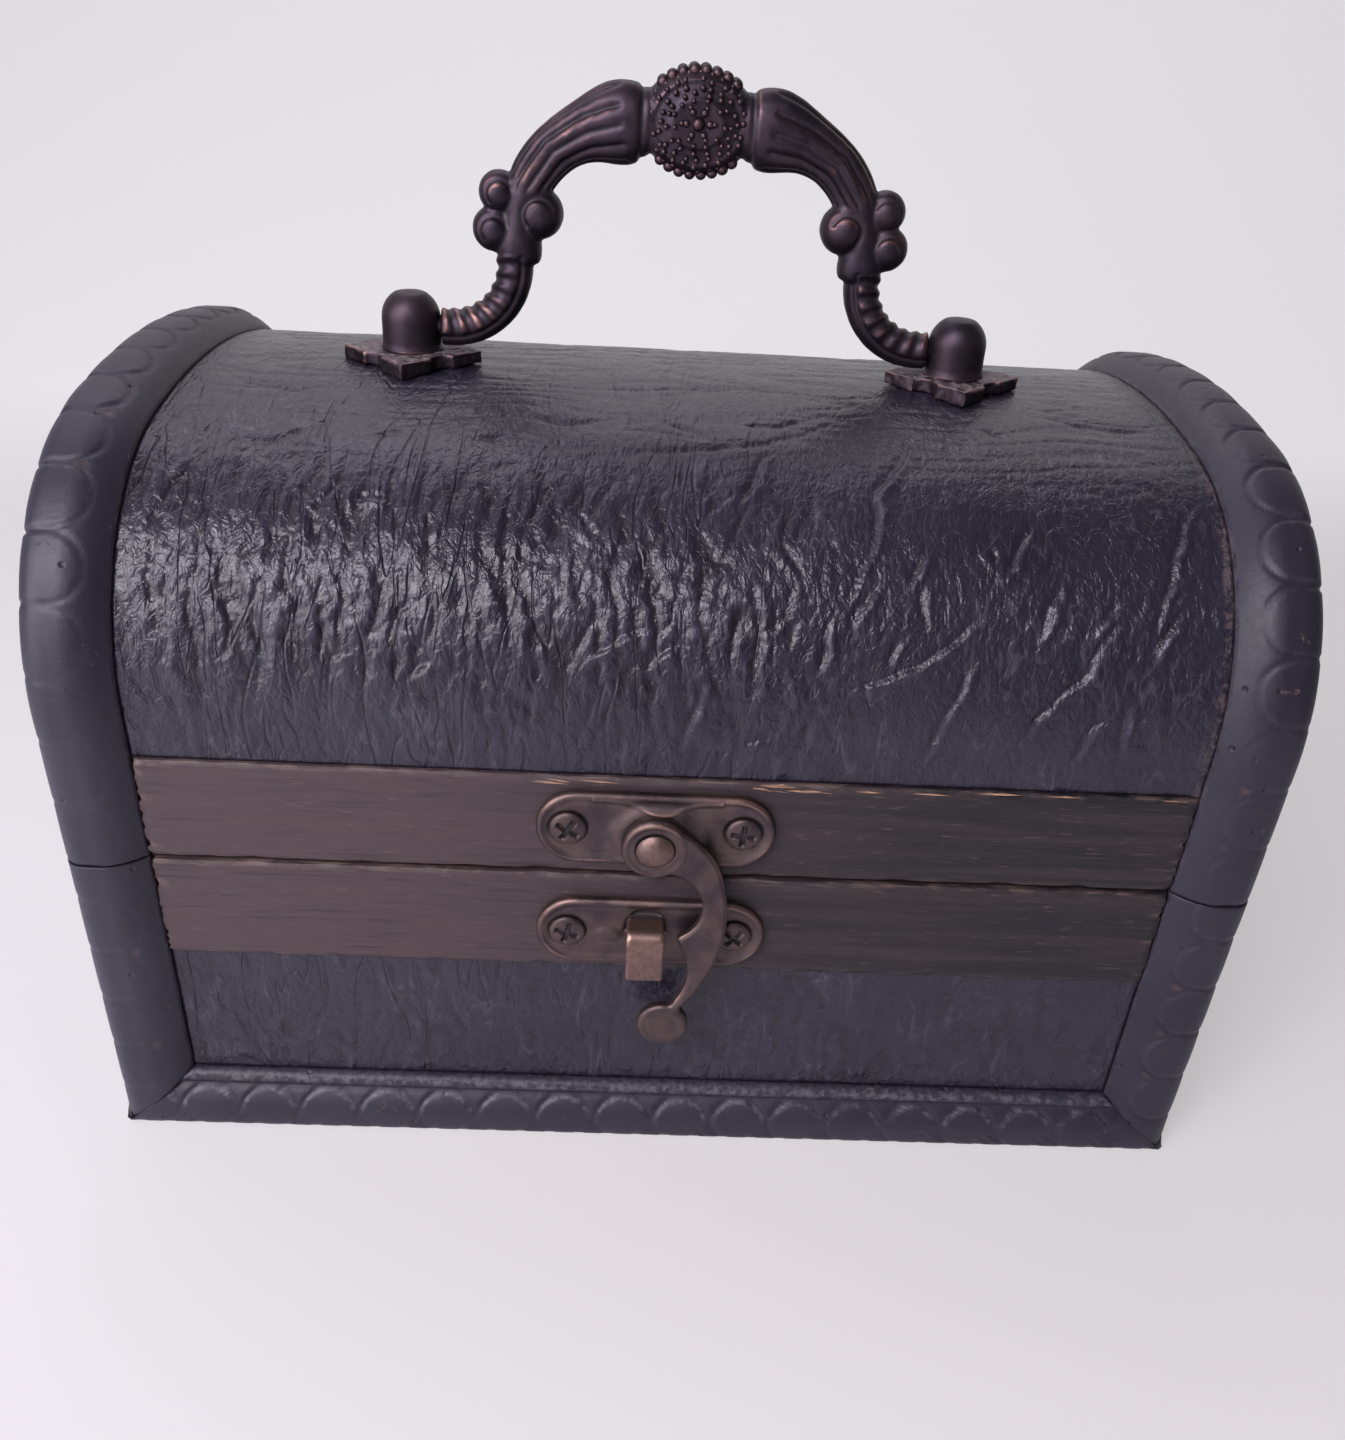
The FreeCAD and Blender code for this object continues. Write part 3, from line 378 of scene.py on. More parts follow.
def new_piece(name, points, faces, finish, marks=None, flat=()):
    """A mesh from millimetre points, its faces turned outwards, with named values at its points."""
    points = np.asarray(points, float)
    fans = np.array([(face[0], b, c) for face in faces for b, c in zip(face[1:-1], face[2:])])
    first, second, third = (points[fans[:, k]] for k in range(3))
    if (first * np.cross(second, third)).sum() < 0:
        faces = [tuple(reversed(face)) for face in faces]
    mesh = bpy.data.meshes.new(name)
    mesh.from_pydata((points * MM).tolist(), [], faces)
    mesh.polygons.foreach_set("use_smooth", [i not in flat for i in range(len(faces))])
    put_marks(mesh, marks or {})
    mesh.materials.append(finish)
    return in_scene(name, mesh)


def put_in_place(piece, body, slot, *nodes):
    """A piece on its body, standing for its CAD nodes."""
    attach(piece, body)
    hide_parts(*nodes)


def row_faces(rows, columns, ring=False):
    """Four-sided faces between rows of points, closed round each row if it is a ring."""
    i, j = np.meshgrid(np.arange(rows - 1), np.arange(columns if ring else columns - 1), indexing="ij")
    near, after = (i * columns).ravel(), ((j + 1) % columns).ravel()
    j = j.ravel()
    return np.stack([near + j, near + after, near + columns + after, near + columns + j], 1).tolist()


def closed_sheet(name, outer, under_left, under_right, finish, marks):
    """A sheet with a worked outer face, plain edges and a ruled underside."""
    rows, columns = outer.shape[:2]
    count = rows * columns
    points = np.concatenate([outer.reshape(-1, 3), under_left, under_right])
    faces = row_faces(rows, columns)
    worked = len(faces)
    left, right = range(count, count + rows), range(count + rows, count + 2 * rows)
    for i in range(rows - 1):
        near, far = i * columns, (i + 1) * columns
        faces += [(near, far, left[i + 1], left[i]),
                  (far + columns - 1, near + columns - 1, right[i], right[i + 1]),
                  (left[i], left[i + 1], right[i + 1], right[i])]
    faces.append((*range(columns - 1, -1, -1), left[0], right[0]))
    faces.append((*range(count - columns, count), right[-1], left[-1]))
    marks = {key: np.append(values.ravel(), np.zeros(2 * rows)) for key, values in marks.items()}
    return new_piece(name, points, faces, finish, marks, set(range(worked, len(faces))))


def on_wall(wall, run, out, height):
    """Points on an upright wall: run along it, distance out from the box's middle, height."""
    axis, side = WALLS[wall]
    return np.stack((run, side * out, height) if axis else (side * out, run, height), -1)


def arch_path(offset, foot, step):
    """Points (y, z), outward normals and arc lengths over the lid's outline, drawn in by an offset."""
    leg, shoulder, crown = SPRING - foot, SHOULDER - offset, CROWN_RADIUS - offset
    arcs = (((-SHOULDER_Y, SPRING), shoulder, math.pi, ARCH_TURN),
            ((0.0, CROWN_Z), crown, math.pi - ARCH_TURN, math.pi - 2 * ARCH_TURN),
            ((SHOULDER_Y, SPRING), shoulder, ARCH_TURN, ARCH_TURN))
    whole = sum((leg, *(radius * sweep for _, radius, _, sweep in arcs), leg))
    runs = np.linspace(0, whole, int(round(whole / step)) + 1)
    hair = 1e-9
    at, out = [], []
    for run in runs:
        if run <= leg + hair:
            at.append((offset - HALF_DEPTH, foot + run))
            out.append((-1.0, 0.0))
            continue
        run -= leg
        for (y, z), radius, start, sweep in arcs:
            if run <= radius * sweep + hair:
                turn = start - run / radius
                normal = (math.cos(turn), math.sin(turn))
                at.append((y + radius * normal[0], z + radius * normal[1]))
                out.append(normal)
                break
            run -= radius * sweep
        else:
            at.append((HALF_DEPTH - offset, SPRING - run))
            out.append((1.0, 0.0))
    return np.array(at), np.array(out), runs


# Leatherette
def along_line(line, x, z):
    """For points near a path: run along it, signed distance to its left, distance, the path's length."""
    best = np.full(x.shape, 1e9)
    run, side = np.zeros(x.shape), np.zeros(x.shape)
    start = 0.0
    for a, b in zip(line[:-1], line[1:]):
        step = np.subtract(b, a)
        length = np.hypot(*step)
        t = np.clip(((x - a[0]) * step[0] + (z - a[1]) * step[1]) / length ** 2, 0, 1)
        dx, dz = x - a[0] - t * step[0], z - a[1] - t * step[1]
        away = np.hypot(dx, dz)
        closer = away < best
        best = np.where(closer, away, best)
        run = np.where(closer, start + t * length, run)
        side = np.where(closer, np.sign(step[0] * dz - step[1] * dx) * away, side)
        start += length
    return run, side, best, start


# Single creases on the dome, each a path of (across, up from the band) points: raised folds, sunk lines
RAISED = (
    ((16, 11), (28, 15), (33, 19), (39, 24)), ((37.5, 25), (40, 29.5), (42, 35)),
    ((29, 0), (32.5, 9.5), (35, 16), (36.5, 19)), ((39, 1), (43.5, 9.5), (48, 15), (51, 20), (53.5, 25.5)),
    ((42, 8), (45, 12)), ((47.5, 1), (50, 8.5), (53, 12)),
    ((53.5, 15.5), (56, 19), (57, 24), (60.5, 35), (64, 40.5)), ((55, 16), (58, 21), (60, 24)),
    ((42, 17.5), (44.5, 24.5), (45, 27)), ((16, 11.5), (17.5, 17), (18, 23)),
    ((18, 17), (20, 23.5), (23, 30), (23.5, 36), (31, 52)), ((20, 18.5), (22, 23), (24, 26)),
    ((25, 15), (26.5, 19.5)), ((27, 24), (29, 30)), ((29, 19.5), (29, 26)), ((35, 30.5), (36.5, 27)),
    ((15.5, 3.5), (17, 10)), ((8, 4.5), (12.5, 6)), ((0, 1), (3, 9), (4, 14.5)),
    ((6, 32), (8.5, 38), (12, 45.5)), ((9, 12), (10, 19), (8.5, 26.5)), ((10, 30), (13, 26), (14, 25)),
    ((54, 4), (54, 14)), ((49, 20), (52, 24.5)), ((-46.5, 36.5), (-45, 33), (-42, 31), (-40, 31)),
    ((-39, 32.5), (-34, 32.5)), ((-30.5, 30), (-30, 36)), ((-39, 31.5), (-39.5, 35)), ((-41, 13), (-38, 14)),
    ((-31, 11), (-28.5, 14)), ((-14, 33), (-11, 29), (-9, 28.5)), ((-12.5, 13), (-8, 16.5), (-3, 19)),
    ((-4, 13.5), (0.5, 17)),
)
SUNK = (
    ((-57, 25), (-56, 18), (-55, 12), (-56.5, 1)), ((-53, 26), (-52, 18.5), (-51.5, 15)),
    ((-49, 25), (-48.5, 15), (-50, 5)), ((-35.5, 26), (-35, 19), (-37, 15)), ((-26, 24.5), (-24.5, 18)),
    ((-20, 27), (-20, 20), (-19, 14)), ((-16.5, 25), (-16.5, 14), (-18, 3)), ((-23, 20), (-23, 6)),
    ((-38, 14), (-34, 18.5), (-30, 21), (-27, 21)), ((-61, 18), (-60.5, 22), (-60, 24)),
    ((-59.5, 33.5), (-58.5, 30.5), (-57, 28)), ((-8, 18.5), (-8, 25), (-7, 30.5)), ((7, 4), (6, 11.5)),
    ((-57.5, 41), (-49, 42), (-42, 48)), ((-38.5, 43), (-34, 45)), ((-27, 44.5), (-20, 44.5)),
    ((-24, 53), (-16, 49), (-6, 51)), ((-10.5, 42), (-3, 43), (10, 46), (16, 50), (23, 56)),
    ((37, 54), (42.5, 49)), ((-5.5, 53), (0, 49), (5, 45)), ((2.5, 51), (12, 51), (20, 56)),
    ((44, 58), (56, 54), (63, 55)), ((-62, 58), (-50, 55), (-44, 58)),
    ((-30, 62), (-12, 60), (8, 63), (26, 60)), ((-60, 84), (-30, 80), (4, 86)),
    ((10, 92), (34, 84), (60, 90)), ((-40, 100), (-36, 118)), ((-12, 104), (-14, 128)),
    ((18, 102), (24, 126)), ((40, 98), (36, 120)), ((52, 108), (56, 130)), ((-56, 104), (-58, 128)),
)


def crease_lines(x, s, paths, width, seed):
    """Height of creases, 0 to 1, thinning out at their ends, and the height of the dip beside each."""
    bent_x, bent_s = (value + 0.55 * grid_noise(3.6, seed + k, x, s, 0.0) for k, value in enumerate((x, s)))
    line, dip = np.zeros_like(x), np.zeros_like(x)
    for path in paths:
        run, side, away, whole = along_line(path, bent_x, bent_s)
        fade = smooth_step(run, 0.0, 0.4 * whole) * (1 - smooth_step(run, 0.6 * whole, whole))
        wide = width * (0.6 + 0.4 * fade)
        line = np.maximum(line, fade * np.exp(-(away / wide) ** 1.3))
        dip = np.maximum(dip, fade * hump(side, 1.9 * wide, wide))
    lumpy = 0.8 + 0.6 * grid_noise(2.4, seed + 5, x, s, 0.0)
    return line * np.clip(lumpy, 0.3, 1.2), dip


def leather_height(x, s, upright, fine, level, seed):
    """Height of upright, short and level creases over a sheet, with what stands proud and what is sunk."""
    def wave(run, rise, cell, layer):
        return grid_noise(cell, seed + layer, run, rise, 7.3 * layer)

    def sharp(value, power):
        return (1 - np.abs(np.clip(value, -1, 1))) ** power

    drift, wander = 2.0 * wave(x, s, 13.0, 1), 0.9 * wave(x, s, 4.0, 2)
    tall = hump(wave((x + drift + wander) / 3.3, s / 17.0, 1.0, 3), 0, 0.15)
    thin = hump(wave((x + wander) / 1.8, s / 6.5, 1.0, 4), 0, 0.22)
    cord = hump(wave((x + drift) / 2.9 + 0.5, s / 12.0, 1.0, 10), 0, 0.15)
    wrinkle = sharp(wave((x + wander) / 1.2 - 0.25 * s, (s + 0.4 * x) / 2.7, 1.0, 5), 3)
    net = sharp(wave(x + wander, s + drift, 2.7, 6), 5)
    flat = hump(wave(x / 17.0, (s + drift) / 3.2, 1.0, 7), 0, 0.14)
    patch = np.clip(0.7 + 0.7 * wave(x, s, 15.0, 8), 0.25, 1.2)
    broad = wave(x, s, 19.0, 9)
    proud = (fine * (0.85 * wrinkle + 0.5 * net) + 0.3 * upright * cord) * patch
    sunk = upright * (patch + 0.25) * (tall + 0.5 * thin) + level * flat
    return 0.11 * broad + 0.36 * proud - 0.28 * sunk, np.clip(1.5 * proud - 0.25, 0, 1), np.clip(sunk, 0, 1)


def lid_leather(finish):
    """The dome's covering: upright creases on the left, pulled folds on the right, level lines on top."""
    at, out, runs = arch_path(FRAME_THICKNESS - LEATHER, LID_BAND_TOP + GLUE, 0.36)
    ahead = int(0.46 * len(runs))
    rows = np.concatenate([np.arange(ahead), np.arange(len(runs) - 1, ahead, -2)[::-1]])
    at, out, runs = at[rows], out[rows], runs[rows]
    s, x = np.meshgrid(runs, np.linspace(-PANEL_X, PANEL_X, 325), indexing="ij")
    up = np.minimum(s, runs[-1] - s)
    top, right = smooth_step(up, *DOME_TOP), smooth_step(x, *DOME_RIGHT)
    upright = (1 - 0.85 * right) * (1 - top) * (0.55 + 0.45 * smooth_step(up, 2, 12))
    shiny = hump(up, 21, 9.0)
    fine = 0.30 + 0.45 * shiny * (1 - 0.55 * right) - 0.16 * top
    height, ridge, groove = leather_height(x, s, upright, fine, 0.45 * top, 11)
    raised, beside = crease_lines(x, s, RAISED, 0.42, 31)
    sunk, _ = crease_lines(x, s, SUNK, 0.46, 33)
    bent = grid_noise(5.0, 36, x, s, 0.0)
    slant = grid_noise(1.0, 37, (0.89 * x - 0.45 * s) / 2.2 + 0.5 * bent, (0.45 * x + 0.89 * s) / 12.0, 3.1)
    pulled = hump(slant, 0, 0.11) * smooth_step(grid_noise(9.0, 38, x, s, 0.0), -0.15, 0.4)
    pulled *= smooth_step(x, -6, 22) * smooth_step(up, 1, 8) * (1 - smooth_step(up, 26, 42))
    height = height + 0.42 * raised - 0.34 * beside - 0.42 * sunk + 0.2 * pulled
    ridge = np.clip(ridge + 0.7 * raised + 0.3 * pulled - sunk, 0, 1)
    # groove is painted shade: sunk creases and the dip on one side of each raised fold are darkened in the
    # finish
    groove = np.maximum(np.clip(np.maximum(groove, 0.8 * beside), 0, 1), sunk)
    rim = smooth_step(PANEL_X - np.abs(x), 0.0, RIM) * smooth_step(up, 0.0, 1.0)
    torn = 0.6 * grid_noise(2.2, 35, x, s, 0.0)
    fringe = smooth_step(x + torn, PANEL_X - 1.6, PANEL_X - 0.6)
    height = np.clip(height, DEEPEST, HIGHEST) * rim + 0.35 * fringe * np.abs(torn)
    outer = np.empty((*s.shape, 3))
    outer[..., 0] = x
    outer[..., 1:] = at[:, None, :] + height[..., None] * out[:, None, :]
    inner = at - (LEATHER - GLUE) * out
    sides = [np.column_stack([np.full(len(at), hand * PANEL_X), inner]) for hand, _ in SIDES]
    marks = {"ridge": ridge * rim, "groove": groove, "fringe": fringe}
    put_in_place(closed_sheet("lid_leatherette", outer, *sides, finish, marks),
                 "lid", "leatherette", "lid_leather")


def flat_leather(finish, body, wall, seed, across, heights, outline=None):
    """A creased panel on an upright wall."""
    face = (BOARD_X, BOARD_Y)[WALLS[wall][0]] + LEATHER
    height, run = np.meshgrid(heights, across, indexing="ij")
    if outline:
        run = run / across[-1] * outline(heights)[:, None]
    edge = np.minimum(run - run[:, :1], run[:, -1:] - run)
    rim = smooth_step(edge, 0, RIM)
    rim = rim * smooth_step(np.minimum(height - heights[0], heights[-1] - height), 0, 1.0)
    lift, ridge, groove = leather_height(run, height, 0.65, 0.55, 0.2, seed)
    outer = on_wall(wall, run, face + np.clip(lift, DEEPEST, HIGHEST) * rim, height)
    sides = [on_wall(wall, run[:, k], np.full(len(heights), face - LEATHER), heights) for k in (0, -1)]
    # groove is painted shade: the finish darkens the sunk creases
    marks = {"ridge": ridge * rim, "groove": groove, "fringe": 0 * rim}
    put_in_place(closed_sheet(f"{body}_{wall}_leatherette", outer, *sides, finish, marks),
                 body, "leatherette", f"{body}_{wall}_leather")


def arch_span(heights):
    """Half width of the lid's end panel at each height."""
    offset = FRAME_WIDTH + GLUE
    shoulder, crown = SHOULDER - offset, CROWN_RADIUS - offset
    rise = np.clip(heights - SPRING, 0, shoulder)
    low = SHOULDER_Y + np.sqrt(np.clip(shoulder ** 2 - rise ** 2, 0, None))
    high = np.sqrt(np.clip(crown ** 2 - (heights - CROWN_Z) ** 2, 1e-4, None))
    turn = SPRING + shoulder * math.sin(ARCH_TURN)
    return np.where(heights < SPRING, HALF_DEPTH - offset, np.where(heights < turn, low, high))


def all_leather(finish):
    lid_leather(finish)
    across = np.linspace(-PANEL_X, PANEL_X, 271)
    low_heights = np.linspace(TRIM_HEIGHT + GLUE, BASE_BAND_FOOT - GLUE, 46)
    for side, wall in FACES:
        flat_leather(finish, "base", wall, 40 + side, across, low_heights)
    along = np.linspace(-PANEL_Y, PANEL_Y, 121)
    end_heights = np.linspace(TRIM_HEIGHT + GLUE, SEAM - SEAM_GAP, 58)
    lid_heights = np.linspace(SEAM + SEAM_GAP, CROWN - FRAME_WIDTH - GLUE - 0.02, 69)
    near_top = lid_heights[-1] - np.array([0.3, 0.12, 0.04, 0.0])
    lid_heights = np.unique(np.concatenate([lid_heights[:-1], near_top]))
    for side, wall in SIDES:
        flat_leather(finish, "base", wall, 50 + side, along, end_heights)
        flat_leather(finish, "lid", wall, 60 + side, along, lid_heights, arch_span)


# Mouldings: a worked section carried along each edge, then embossed with a row of coins
def half_section():
    """From the leather's edge to the middle of the corner: (in from end, in from front) points."""
    lip = 2.7
    points = [(FRAME_WIDTH, FRAME_THICKNESS), (FRAME_WIDTH, lip)]
    for turn in np.linspace(0.06, 1.0, 14):
        points.append((FRAME_WIDTH - turn * FRAME_WIDTH / 2, lip * (1 - turn) ** 1.9))
    points += [(4.3, 0.0), (3.6, 0.0)]
    for turn in np.radians((0, 15, 30, 45)):
        points.append((FRAME_CORNER * (1 - math.sin(turn)), FRAME_CORNER * (1 - math.cos(turn))))
    return points


def corner_loop():
    """The closed section of a corner moulding, each point's reach from the corner, and its cover by coins."""
    half = half_section()
    loop = np.array(half + [(b, a) for a, b in reversed(half[:-1])] + [(FRAME_THICKNESS, FRAME_THICKNESS)])
    across = np.append(0, np.cumsum(np.hypot(*np.diff(loop[:-1], axis=0).T)))
    middle = across[-1] / 2
    reach = np.abs(across - middle)
    cover = 1 - smooth_step(reach, middle - 5.0, middle - 3.6)
    return loop, (np.append(reach, 20.0), np.append(cover, 0.0))


# Node trees for repeated detail
def new_tree(name, main, *inputs):
    """A Geometry Nodes tree with named inputs, and a field for each of them."""
    tree = bpy.data.node_groups.new(name, "GeometryNodeTree")
    for key, kind in ((main, "Geometry"), *inputs):
        tree.interface.new_socket(key, in_out="INPUT", socket_type=f"NodeSocket{kind}")
    tree.interface.new_socket(main, in_out="OUTPUT", socket_type="NodeSocketGeometry")
    web = Web(tree)
    given = tree.nodes.new("NodeGroupInput")
    return web, [Field(web, given.outputs[k]) for k in range(len(inputs) + 1)]


def named(web, name, kind="FLOAT"):
    return web.add("GeometryNodeInputNamedAttribute", {"Name": name}, data_type=kind)


def dressed(web, geometry, finish):
    """Ends a tree: real meshes in their finish."""
    real = web.add("GeometryNodeRealizeInstances", {0: geometry})
    coated = web.add("GeometryNodeSetMaterial", {"Geometry": real, "Material": finish})
    web.add("NodeGroupOutput", {0: coated})
    return web.tree


def settled(piece, **keep):
    """Turns a piece's modifiers into its plain mesh."""
    graph = bpy.context.evaluated_depsgraph_get()
    made = bpy.data.meshes.new_from_object(piece.evaluated_get(graph), depsgraph=graph, **keep)
    piece.modifiers.clear()
    piece.data = made
    return made


def through(piece, tree, **inputs):
    """Runs a tree on a piece and keeps the result as a plain mesh."""
    modifier = piece.modifiers.new(tree.name, "NODES")
    modifier.node_group = tree
    for item in tree.interface.items_tree:
        if item.in_out == "INPUT" and item.name in inputs:
            modifier[item.identifier] = inputs[item.name]
    settled(piece, preserve_all_data_layers=True)


def coin_tree():
    """Presses a row of coins into a moulding: pitch, relief and finish are its inputs."""
    web, (moulding, pitch, relief, finish) = new_tree(
        "coin_row", "Moulding", ("Pitch", "Float"), ("Relief", "Float"), ("Finish", "Material"))
    along, reach, cover = named(web, "along"), named(web, "reach"), named(web, "cover")
    cell = (along / pitch).maths("FRACT") - 0.5
    rounded = (reach - COIN_STRAIGHT).maths("MAXIMUM", 0.0) / COIN_END
    distance = ((cell * 2.0) ** 2.0 + rounded ** 2.0).maths("SQRT")
    dome = 1.0 - distance.between(0.2, 1.0)
    groove = distance.between(0.86, 0.96) * (1.0 - distance.between(0.97, 1.08))
    # rim: where the painted highlight on the coins' rims goes, stored for the finish
    rim = distance.between(0.76, 0.86) * (1.0 - distance.between(0.90, 0.97)) * cover * named(web, "upper")
    apart = (0.5 - cell.maths("ABSOLUTE")) * pitch
    knock = 1.0 - (apart + 0.5 * (6.2 - reach)).between(0.2, 1.0)
    knock = knock * (1.0 - (reach - 5.6).maths("ABSOLUTE").between(0.3, 1.1)) * named(web, "knock")
    lift = ((dome * 0.2 - groove * 0.8) * cover * relief - knock * 0.3) * MM
    normal = web.add("GeometryNodeInputNormal")
    offset = web.add("ShaderNodeVectorMath", {0: normal, "Scale": lift}, operation="SCALE")
    pressed = web.add("GeometryNodeSetPosition", {"Geometry": moulding, "Offset": offset})
    for key, value in (("coin_rim", rim), ("knocked", knock)):
        sockets = {"Geometry": pressed, "Name": key, "Value": value}
        pressed = web.add("GeometryNodeStoreNamedAttribute", sockets, data_type="FLOAT", domain="POINT")
    return dressed(web, pressed, finish)


def moulding(finish, coins, body, name, node, stations, along, section,
             pitch, relief, seed, fade, ledge=None):
    """A stained moulding through its stations, pressed with coins and rubbed; a ledge gathers dust.

    The section gives each point's reach from the coins' middle and how far they cover it."""
    count, size = stations.shape[:2]
    points = stations.reshape(-1, 3)
    reach, cover = (np.tile(values, count) for values in section)
    worn = 0.5 + 0.5 * lattice_noise(points, 14.0, seed)
    edge = hump(reach, INNER_EDGE, 0.6)
    marks = {
        "along": along.ravel(),
        "reach": reach,
        "cover": cover * np.clip(fade * (1.25 - 0.7 * worn), 0, 1),
        "wear": 0.75 * edge + 0.35 * np.clip(lattice_noise(points, 2.2, seed + 3), 0, 1),
        "dust": 0.25 * edge,
        # upper: share of each coin rim given the painted highlight
        "upper": np.full(len(points), 0.25),
        "knock": smooth_step(lattice_noise(points, 6.0, seed + 5), 0.0, 0.35),
    }
    if ledge is not None:
        top = np.tile(ledge, count)
        marks.update(wear=0.4 * marks["wear"] + 0.5 * top, dust=0.9 * top, knock=0 * top,
                     # on the bottom mouldings only the upper half of each coin rim gets the painted highlight
                     upper=smooth_step(points[:, 2], COIN_MIDDLE, COIN_MIDDLE + 1.2))
    faces = row_faces(count, size, True)
    caps = {len(faces), len(faces) + 1}
    faces += [range(size - 1, -1, -1), range((count - 1) * size, count * size)]
    piece = new_piece(name, points, faces, finish, marks, caps)
    through(piece, coins, Pitch=pitch, Relief=relief, Finish=finish)
    put_in_place(piece, body, "moulding", node)


def corner_stiles(finish, coins):
    """The base's four upright corners, mitred at the foot."""
    loop, section = corner_loop()
    front, end = loop[:, 1] <= FRAME_THICKNESS, loop[:, 0] <= FRAME_THICKNESS
    foot = TRIM_HEIGHT / FRAME_WIDTH * np.maximum(loop[:, 0] * front, loop[:, 1] * end)
    z = foot + (SEAM - SEAM_GAP - foot) * np.linspace(0, 1, 140)[:, None]
    for x_hand, x_name in SIDES:
        for y_hand, y_name in FACES:
            x, y = x_hand * (HALF_LENGTH - loop[:, 0]), y_hand * (HALF_DEPTH - loop[:, 1])
            moulding(finish, coins, "base", f"base_{y_name}_{x_name}_edging", f"base_{y_name}_{x_name}_stile",
                     np.stack(np.broadcast_arrays(x, y, z), -1), z + 1.5, section, COIN_PITCH, relief=0.36,
                     seed=70 + x_hand + 3 * y_hand, fade=0.4 if x_hand < 0 else 0.85)


def lid_arches(finish, coins):
    """The mouldings over the lid's two ends, rubbed flat towards the seam."""
    loop, section = corner_loop()
    outline, out, runs = arch_path(0.0, SEAM + SEAM_GAP, 0.34)
    fade = 0.3 + 0.7 * smooth_step(np.minimum(runs, runs[-1] - runs), 22, 56)
    for hand, name in SIDES:
        stations = np.empty((len(runs), len(loop), 3))
        stations[..., 0] = hand * (HALF_LENGTH - loop[:, 0])
        stations[..., 1:] = outline[:, None, :] - loop[None, :, 1, None] * out[:, None, :]
        moulding(finish, coins, "lid", f"lid_{name}_edging", f"lid_{name}_arch", stations,
                 np.repeat(runs, len(loop)), section, ARCH_COIN_PITCH, relief=0.40, seed=90 + hand,
                 fade=np.repeat(fade, len(loop)))


def trim_loop():
    """The closed section of a bottom moulding: (in from face, height)."""
    points = [(FRAME_THICKNESS, 0.0), (1.2, 0.0), (0.6, 0.16), (0.2, 0.55),
              (0.0, 1.2), (0.0, 2.2), (0.0, 3.2)]
    for turn in np.linspace(0.15, 1.0, 8):
        points.append((1.35 * turn ** 1.8, COIN_MIDDLE + 3.0 * turn))
    points += [(1.78, 6.75), (1.9, 7.0), (1.7, 7.25), (1.62, 7.75), (1.72, 8.2), (2.05, 8.6),
               (2.7, TRIM_HEIGHT), (FRAME_THICKNESS, TRIM_HEIGHT)]
    return np.array(points)


def bottom_trims(finish, coins):
    """The mouldings round the base's foot, mitred into the corners."""
    loop = trim_loop()
    inward, rise = loop.T
    reach = COIN_STRAIGHT + COIN_END * np.abs(rise - COIN_MIDDLE) / 3.5
    cover = (rise < 6.6) & (rise > 0.3) & (inward < 2)
    for wall in ("front", "back", "right", "left"):
        half_run, half_across = (HALF_LENGTH, HALF_DEPTH) if WALLS[wall][0] else (HALF_DEPTH, HALF_LENGTH)
        ends = half_run - np.maximum(rise * FRAME_WIDTH / TRIM_HEIGHT, inward)
        run = ends * np.linspace(-1, 1, int(half_run * 6.0))[:, None]
        stations = on_wall(wall, *np.broadcast_arrays(run, half_across - inward, rise))
        moulding(finish, coins, "base", f"base_{wall}_bottom_edging", f"base_{wall}_trim", stations,
                 run + half_run, (reach, cover), COIN_PITCH, relief=0.42, seed=110 + len(wall), fade=0.95,
                 ledge=hump(rise, 8.1, 0.7))


# Wood bands
def crowded(length, near, count):
    """Stations along a length, closer together at both ends."""
    near = np.array(near)
    middle = np.linspace(near[-1], length - near[-1], count)
    return np.concatenate([near[:-1], middle, length - near[-2::-1]])


def wood_bands(finish):
    """Thin boards with eased edges and torn ends."""
    spans = (("base", BASE_BAND_FOOT, SEAM - BAND_GAP), ("lid", SEAM + BAND_GAP, LID_BAND_TOP))
    for body, low, high in spans:
        rise = crowded(high - low, near=(0.0, 0.12, 0.3, 0.6, 1.0), count=24)
        run = crowded(2 * PANEL_X, near=(0.0, 0.15, 0.4, 0.8, 1.4), count=170)
        for side, wall in FACES:
            seed = 130 + side + len(body)
            z, x = np.meshgrid(low + rise, run - PANEL_X, indexing="ij")
            apart = np.sign(x) * 9.0
            torn = np.abs(grid_noise(1.0, seed, 0.02 * x + apart, apart, 1.6 * z + apart))
            torn = np.minimum(torn * 1.1, 0.7)
            end = smooth_step(np.abs(x), PANEL_X - 2.5, PANEL_X)
            x = x - np.sign(x) * torn * end
            near = np.minimum(z - low, high - z)
            drop = 0.28 * (1 - smooth_step(near, 0.0, 0.6))
            drop = drop + 0.25 * end * (1 - smooth_step(PANEL_X - np.abs(x), 0, 1.2))
            drop = drop + 0.07 * np.abs(grid_noise(1.3, seed + 1, 0.05 * x, 0.0, z))
            tear = np.clip(grid_noise(1.0, seed + 2, 0.22 * x, 0.0, 0.0), 0, 1)
            drop = drop + 0.5 * tear * (1 - smooth_step(near, 0.0, 0.9))
            outer = on_wall(wall, x, BAND_Y - drop, z)
            edge = np.clip(1 - near / 0.7, 0, 1) * 0.8 + 0.8 * end * (torn > 0.35)
            sides = [on_wall(wall, x[:, k], np.full(len(rise), BOARD_Y + 0.02), z[:, k]) for k in (0, -1)]
            put_in_place(closed_sheet(f"{body}_{wall}_wood_band", outer, *sides, finish, {"edge": edge}),
                         body, "band", f"{body}_{wall}_band")


